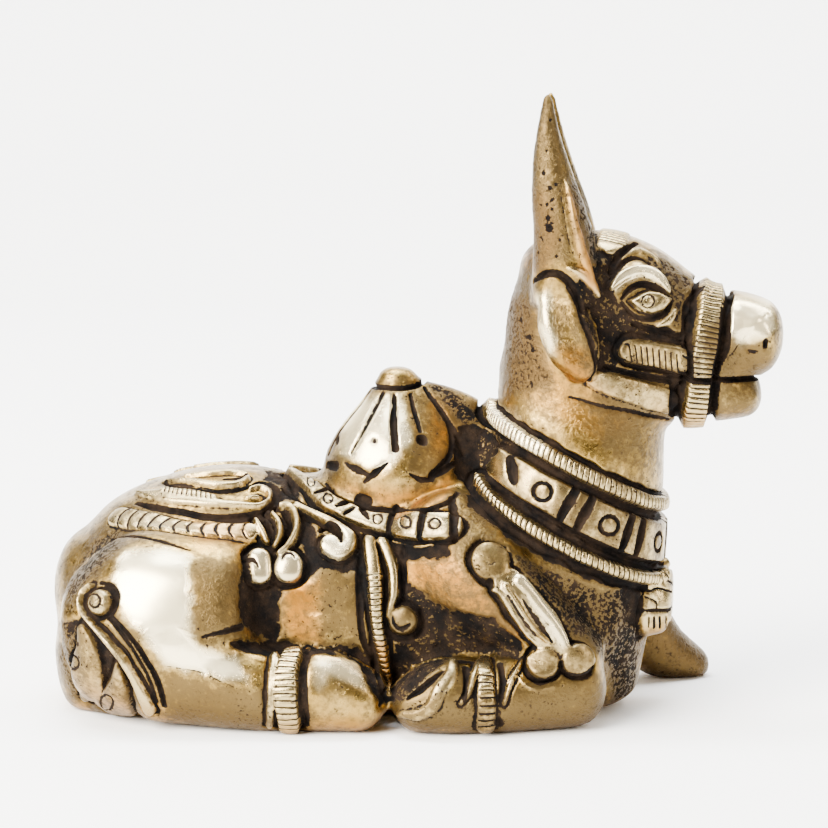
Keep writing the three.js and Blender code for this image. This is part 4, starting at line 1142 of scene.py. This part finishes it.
# %% Drop the sealed bubbles
def shells(form):
    """The separate shells of a mesh, each as a list of its points."""
    left = set(form.verts)
    while left:
        shell = [left.pop()]
        for vert in shell:
            linked = {edge.other_vert(vert) for edge in vert.link_edges} & left
            left -= linked
            shell.extend(linked)
        yield shell


whole_skin = bmesh.new()
whole_skin.from_mesh(figure_mesh)
bubbles = sorted(shells(whole_skin), key=len)[:-1]
bmesh.ops.delete(whole_skin, geom=[vert for bubble in bubbles for vert in bubble], context="VERTS")
whole_skin.to_mesh(figure_mesh)
whole_skin.free()
print("bubbles dropped:", len(bubbles))

# %% Set the figure into the scene
figure_mesh.transform(Matrix.Scale(MM, 4))
figure_mesh.shade_smooth()
figure = bpy.data.objects.new("brass_bull", figure_mesh)
bpy.context.scene.collection.objects.link(figure)
print("figure:", len(figure_mesh.polygons), "triangles")

# %% [markdown]
# Shader arithmetic is easier to read as Python expressions, so a small class wraps a socket and
# turns + - * into Math nodes. One method makes any other node from its type and settings.

# %% A small class for shader sockets
class Socket:
    """A node's output that can be added, taken away, multiplied and compared."""

    tree = None

    def __init__(self, output):
        self.output = output

    def _math(self, operation, *values):
        return Socket.node("ShaderNodeMath", {"operation": operation}, dict(enumerate(values)))

    def __add__(self, other):
        return self._math("ADD", self, other)

    def __sub__(self, other):
        return self._math("SUBTRACT", self, other)

    def __mul__(self, other):
        return self._math("MULTIPLY", self, other)

    def __rsub__(self, other):
        return self._math("SUBTRACT", other, self)

    __radd__ = __add__

    def to_nearest(self, pitch):
        """Up and down between 0 and the pitch, as a zigzag."""
        return self._math("PINGPONG", self, pitch)

    def band(self, low, high):
        """0 below low, 1 above high, smooth between."""
        return Socket.node("ShaderNodeMapRange", {"interpolation_type": "SMOOTHSTEP"},
                           {"Value": self, "From Min": low, "From Max": high}, "Result")

    def feeds(self, shader, name):
        Socket.tree.links.new(self.output, shader.inputs[name])

    @staticmethod
    def node(kind, settings=None, inputs=None, output=0):
        made = Socket.tree.nodes.new(kind)
        for name, value in (settings or {}).items():
            setattr(made, name, value)
        for name, value in (inputs or {}).items():
            if isinstance(value, Socket):
                Socket.tree.links.new(value.output, made.inputs[name])
            else:
                made.inputs[name].default_value = value
        return Socket(made.outputs[output])


def attribute(name):
    return Socket.node("ShaderNodeAttribute", {"attribute_name": name}, output="Fac")


def mixed(amount, first, second):
    """One colour turning into another; a plain colour is given as three numbers."""
    node = Socket.tree.nodes.new("ShaderNodeMix")
    node.data_type = "RGBA"
    for name, value in (("Factor", amount), ("A", first), ("B", second)):
        socket = next(s for s in node.inputs if s.name == name and s.enabled)
        if isinstance(value, Socket):
            Socket.tree.links.new(value.output, socket)
        else:
            socket.default_value = (*value, 1)
    return Socket(next(s for s in node.outputs if s.enabled))


def noise(scale, detail=4.0, roughness=0.6):
    where = Socket.node("ShaderNodeTexCoord", output="Object")
    return Socket.node("ShaderNodeTexNoise", inputs={
        "Vector": where, "Scale": scale, "Detail": detail, "Roughness": roughness})


# %% [markdown]
# Polished brass is a metal of deep gold. Where it was rubbed, on the ornament, it is paler. The
# polished zones get a near-white cream, a painted highlight; some zones and the undersides get a warm
# orange brown, a painted reflection; and some zones are darkened to olive and black, a painted shade.
# The patina is not a metal: a dull, nearly black violet brown that fills the gutters, the matted
# ground and the pits, and in a few patches it is painted shadow. Its edge is broken by a fine noise,
# so it looks like dirt that was wiped off the high places.

# %% Antique brass
DEEP_GOLD, LIGHT_GOLD = (0.27, 0.165, 0.036), (0.35, 0.235, 0.07)
# Of the next three colours, the second is a painted highlight and the third a painted warm reflection.
ORNAMENT, PAINTED_HIGHLIGHT_CREAM, PAINTED_REFLECTION_ORANGE = (0.45, 0.355, 0.18), (0.98, 0.86, 0.54), (0.34, 0.132, 0.009)
# The first of the next two colours is stain, and also painted shade.
STAIN_AND_SHADE_OLIVE, MATTED = (0.075, 0.048, 0.018), (0.06, 0.04, 0.017)
# The next two colours are the black of the patina, and also of painted shade and shadow.
PATINA_AND_SHADOW_BLACK, PATINA_AND_SHADOW_BROWN = (0.002, 0.0016, 0.0015), (0.016, 0.0095, 0.0055)
material = bpy.data.materials.new("brass")
material.use_nodes = True
Socket.tree = material.node_tree
shader = next(n for n in Socket.tree.nodes if n.type == "BSDF_PRINCIPLED")
grain = noise(1500, 5, 0.7)
speck = noise(3200, 2, 0.5)
cloud = noise(170, 3)
blotch = noise(430, 5, 0.65)
matt = attribute("matted")
tooth = attribute("striped") * (1 - (attribute("stripe") + 0.5).to_nearest(0.5).band(0.06, 0.2))
fine_hollow = attribute("fine").band(0.52, 0.85)
broad_hollow = attribute("broad").band(0.52, 0.95)
flecks = (speck * 0.4 + grain * 0.4 + blotch * 0.2).band(0.47, 0.6) * matt
polish_and_highlight = attribute("polish_and_painted_highlight")
pits = speck.band(0.62, 0.68) * cloud.band(0.4, 0.6) * (1 - polish_and_highlight)
# Dirt and patina, with painted shade from the shaded zones and painted shadow from the dark patches; less
# under the painted highlight.
dirt_and_painted_shade = (attribute("patina_and_painted_shadow") * 1.3 + matt * 0.5 - flecks * 1.75 + fine_hollow * 0.45
        + broad_hollow * 0.9 + tooth * 0.85 + pits * 0.8 + attribute("dull_and_painted_shade") * 0.26
        - polish_and_highlight * 0.3 + (grain - 0.5) * 1.1
        + (blotch - 0.5) * 0.9).band(0.4, 0.7)
mottle = (cloud - 0.5) * 1.8 + (grain - 0.5) * 2.4 + (blotch - 0.5) * 1.2
# Stain, with painted shade from the shaded zones.
stain_and_painted_shade = (broad_hollow * 0.6 + mottle * (1 - polish_and_highlight * 0.9) + 0.38 + matt * 0.6
         + attribute("spread_patina_and_shadow") * 0.55 + attribute("dull_and_painted_shade") * 0.6 - polish_and_highlight * 0.9
         - attribute("raised") * 0.3).band(0.1, 0.95)
gold = mixed(cloud.band(0.35, 0.65), DEEP_GOLD, LIGHT_GOLD)
gold = mixed(attribute("raised") * (0.75 - attribute("dull_and_painted_shade") * 0.5), gold, ORNAMENT)
# Painted highlight: near-white cream on the polished zones.
gold = mixed(polish_and_highlight, gold, PAINTED_HIGHLIGHT_CREAM)
# Painted reflection: warm orange.
gold = mixed(attribute("painted_warm_reflection") * 0.9, gold, PAINTED_REFLECTION_ORANGE)
metal = mixed(stain_and_painted_shade * 0.88, gold, STAIN_AND_SHADE_OLIVE)
metal = mixed(matt * 0.7, metal, MATTED)
black = mixed(blotch.band(0.35, 0.7), PATINA_AND_SHADOW_BLACK, PATINA_AND_SHADOW_BROWN)
mixed(dirt_and_painted_shade, metal, black).feeds(shader, "Base Color")
# Less metallic under dirt, and under the painted highlight so the lights also shine on it diffusely.
((1 - dirt_and_painted_shade) * (1 - polish_and_highlight * 0.35)).feeds(shader, "Metallic")
(0.2 + blotch * 0.14 + stain_and_painted_shade * 0.16 + dirt_and_painted_shade * 0.34 + attribute("painted_warm_reflection") * 0.08
 - polish_and_highlight * 0.04).feeds(shader, "Roughness")
hammered = Socket.node("ShaderNodeBump", inputs={
    "Strength": 0.6, "Distance": 0.00012,
    "Height": (noise(800, 4) * 0.6 + grain * 0.4 + cloud) * (1 - polish_and_highlight)
              - tooth * 0.6 - pits * 0.5 + flecks * 0.8})
hammered.feeds(shader, "Normal")
shader.inputs["Specular IOR Level"].default_value = 0.05
figure_mesh.materials.clear()
figure_mesh.materials.append(material)

# %% [markdown]
# The figure is shown as a small thing is photographed for a shop: on a white sweep, with one big
# soft light at the left, one overhead, and the rest of the room left dark, because polished metal
# shows what it reflects.

# %% Floor and lights
def stage_material(colour):
    paint = bpy.data.materials.new("sweep")
    paint.use_nodes = True
    node = next(n for n in paint.node_tree.nodes if n.type == "BSDF_PRINCIPLED")
    node.inputs["Base Color"].default_value = (*colour, 1)
    node.inputs["Roughness"].default_value = 0.9
    return paint


sweep = bmesh.new()
profile = [sweep.verts.new((-1.5, y, z)) for y, z in
           ((-1.2, 0), (0.45, 0), (0.56, 0.02), (0.64, 0.08), (0.68, 0.18), (0.70, 1.4))]
edges = [sweep.edges.new(pair) for pair in zip(profile, profile[1:])]
made = bmesh.ops.extrude_edge_only(sweep, edges=edges)
bmesh.ops.translate(sweep, vec=(3, 0, 0),
                    verts=[v for v in made["geom"] if isinstance(v, bmesh.types.BMVert)])
bmesh.ops.recalc_face_normals(sweep, faces=sweep.faces)
sweep_mesh = bpy.data.meshes.new("sweep")
sweep.to_mesh(sweep_mesh)
sweep.free()
sweep_mesh.shade_smooth()
sweep_mesh.materials.append(stage_material((0.96, 0.96, 0.95)))
backdrop = bpy.data.objects.new("sweep", sweep_mesh)
bpy.context.scene.collection.objects.link(backdrop)


def soft_light(name, spot, target, size, watts, colour):
    light = bpy.data.lights.new(name, "AREA")
    light.shape, light.size, light.size_y = "RECTANGLE", *size
    light.energy, light.color = watts, colour
    thing = bpy.data.objects.new(name, light)
    thing.location = spot
    thing.rotation_euler = (Vector(target) - Vector(spot)).to_track_quat("-Z", "Y").to_euler()
    bpy.context.scene.collection.objects.link(thing)


soft_light("window", (-0.33, -0.35, 0.3), (0, 0, 0.02), (0.42, 0.44), 22.0, (1, 0.95, 0.87))
soft_light("ceiling", (-0.05, 0.0, 0.6), (0, 0, 0), (0.4, 0.3), 6.5, (0.86, 0.93, 1))
soft_light("strip", (0.42, -0.22, 0.22), (0, 0, 0.03), (0.05, 0.3), 1.2, (1, 0.9, 0.78))
soft_light("backdrop", (0, 0.2, 0.7), (0, 0.7, 0.1), (1.2, 0.3), 26, (1, 1, 1))
world = bpy.data.worlds.new("room")
world.use_nodes = True
world.node_tree.nodes["Background"].inputs["Color"].default_value = (0.5, 0.4, 0.3, 1)
world.node_tree.nodes["Background"].inputs["Strength"].default_value = 0.28
bpy.context.scene.world = world

# %% Tie the figure to the frame
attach(figure, "root")
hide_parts(NODE)
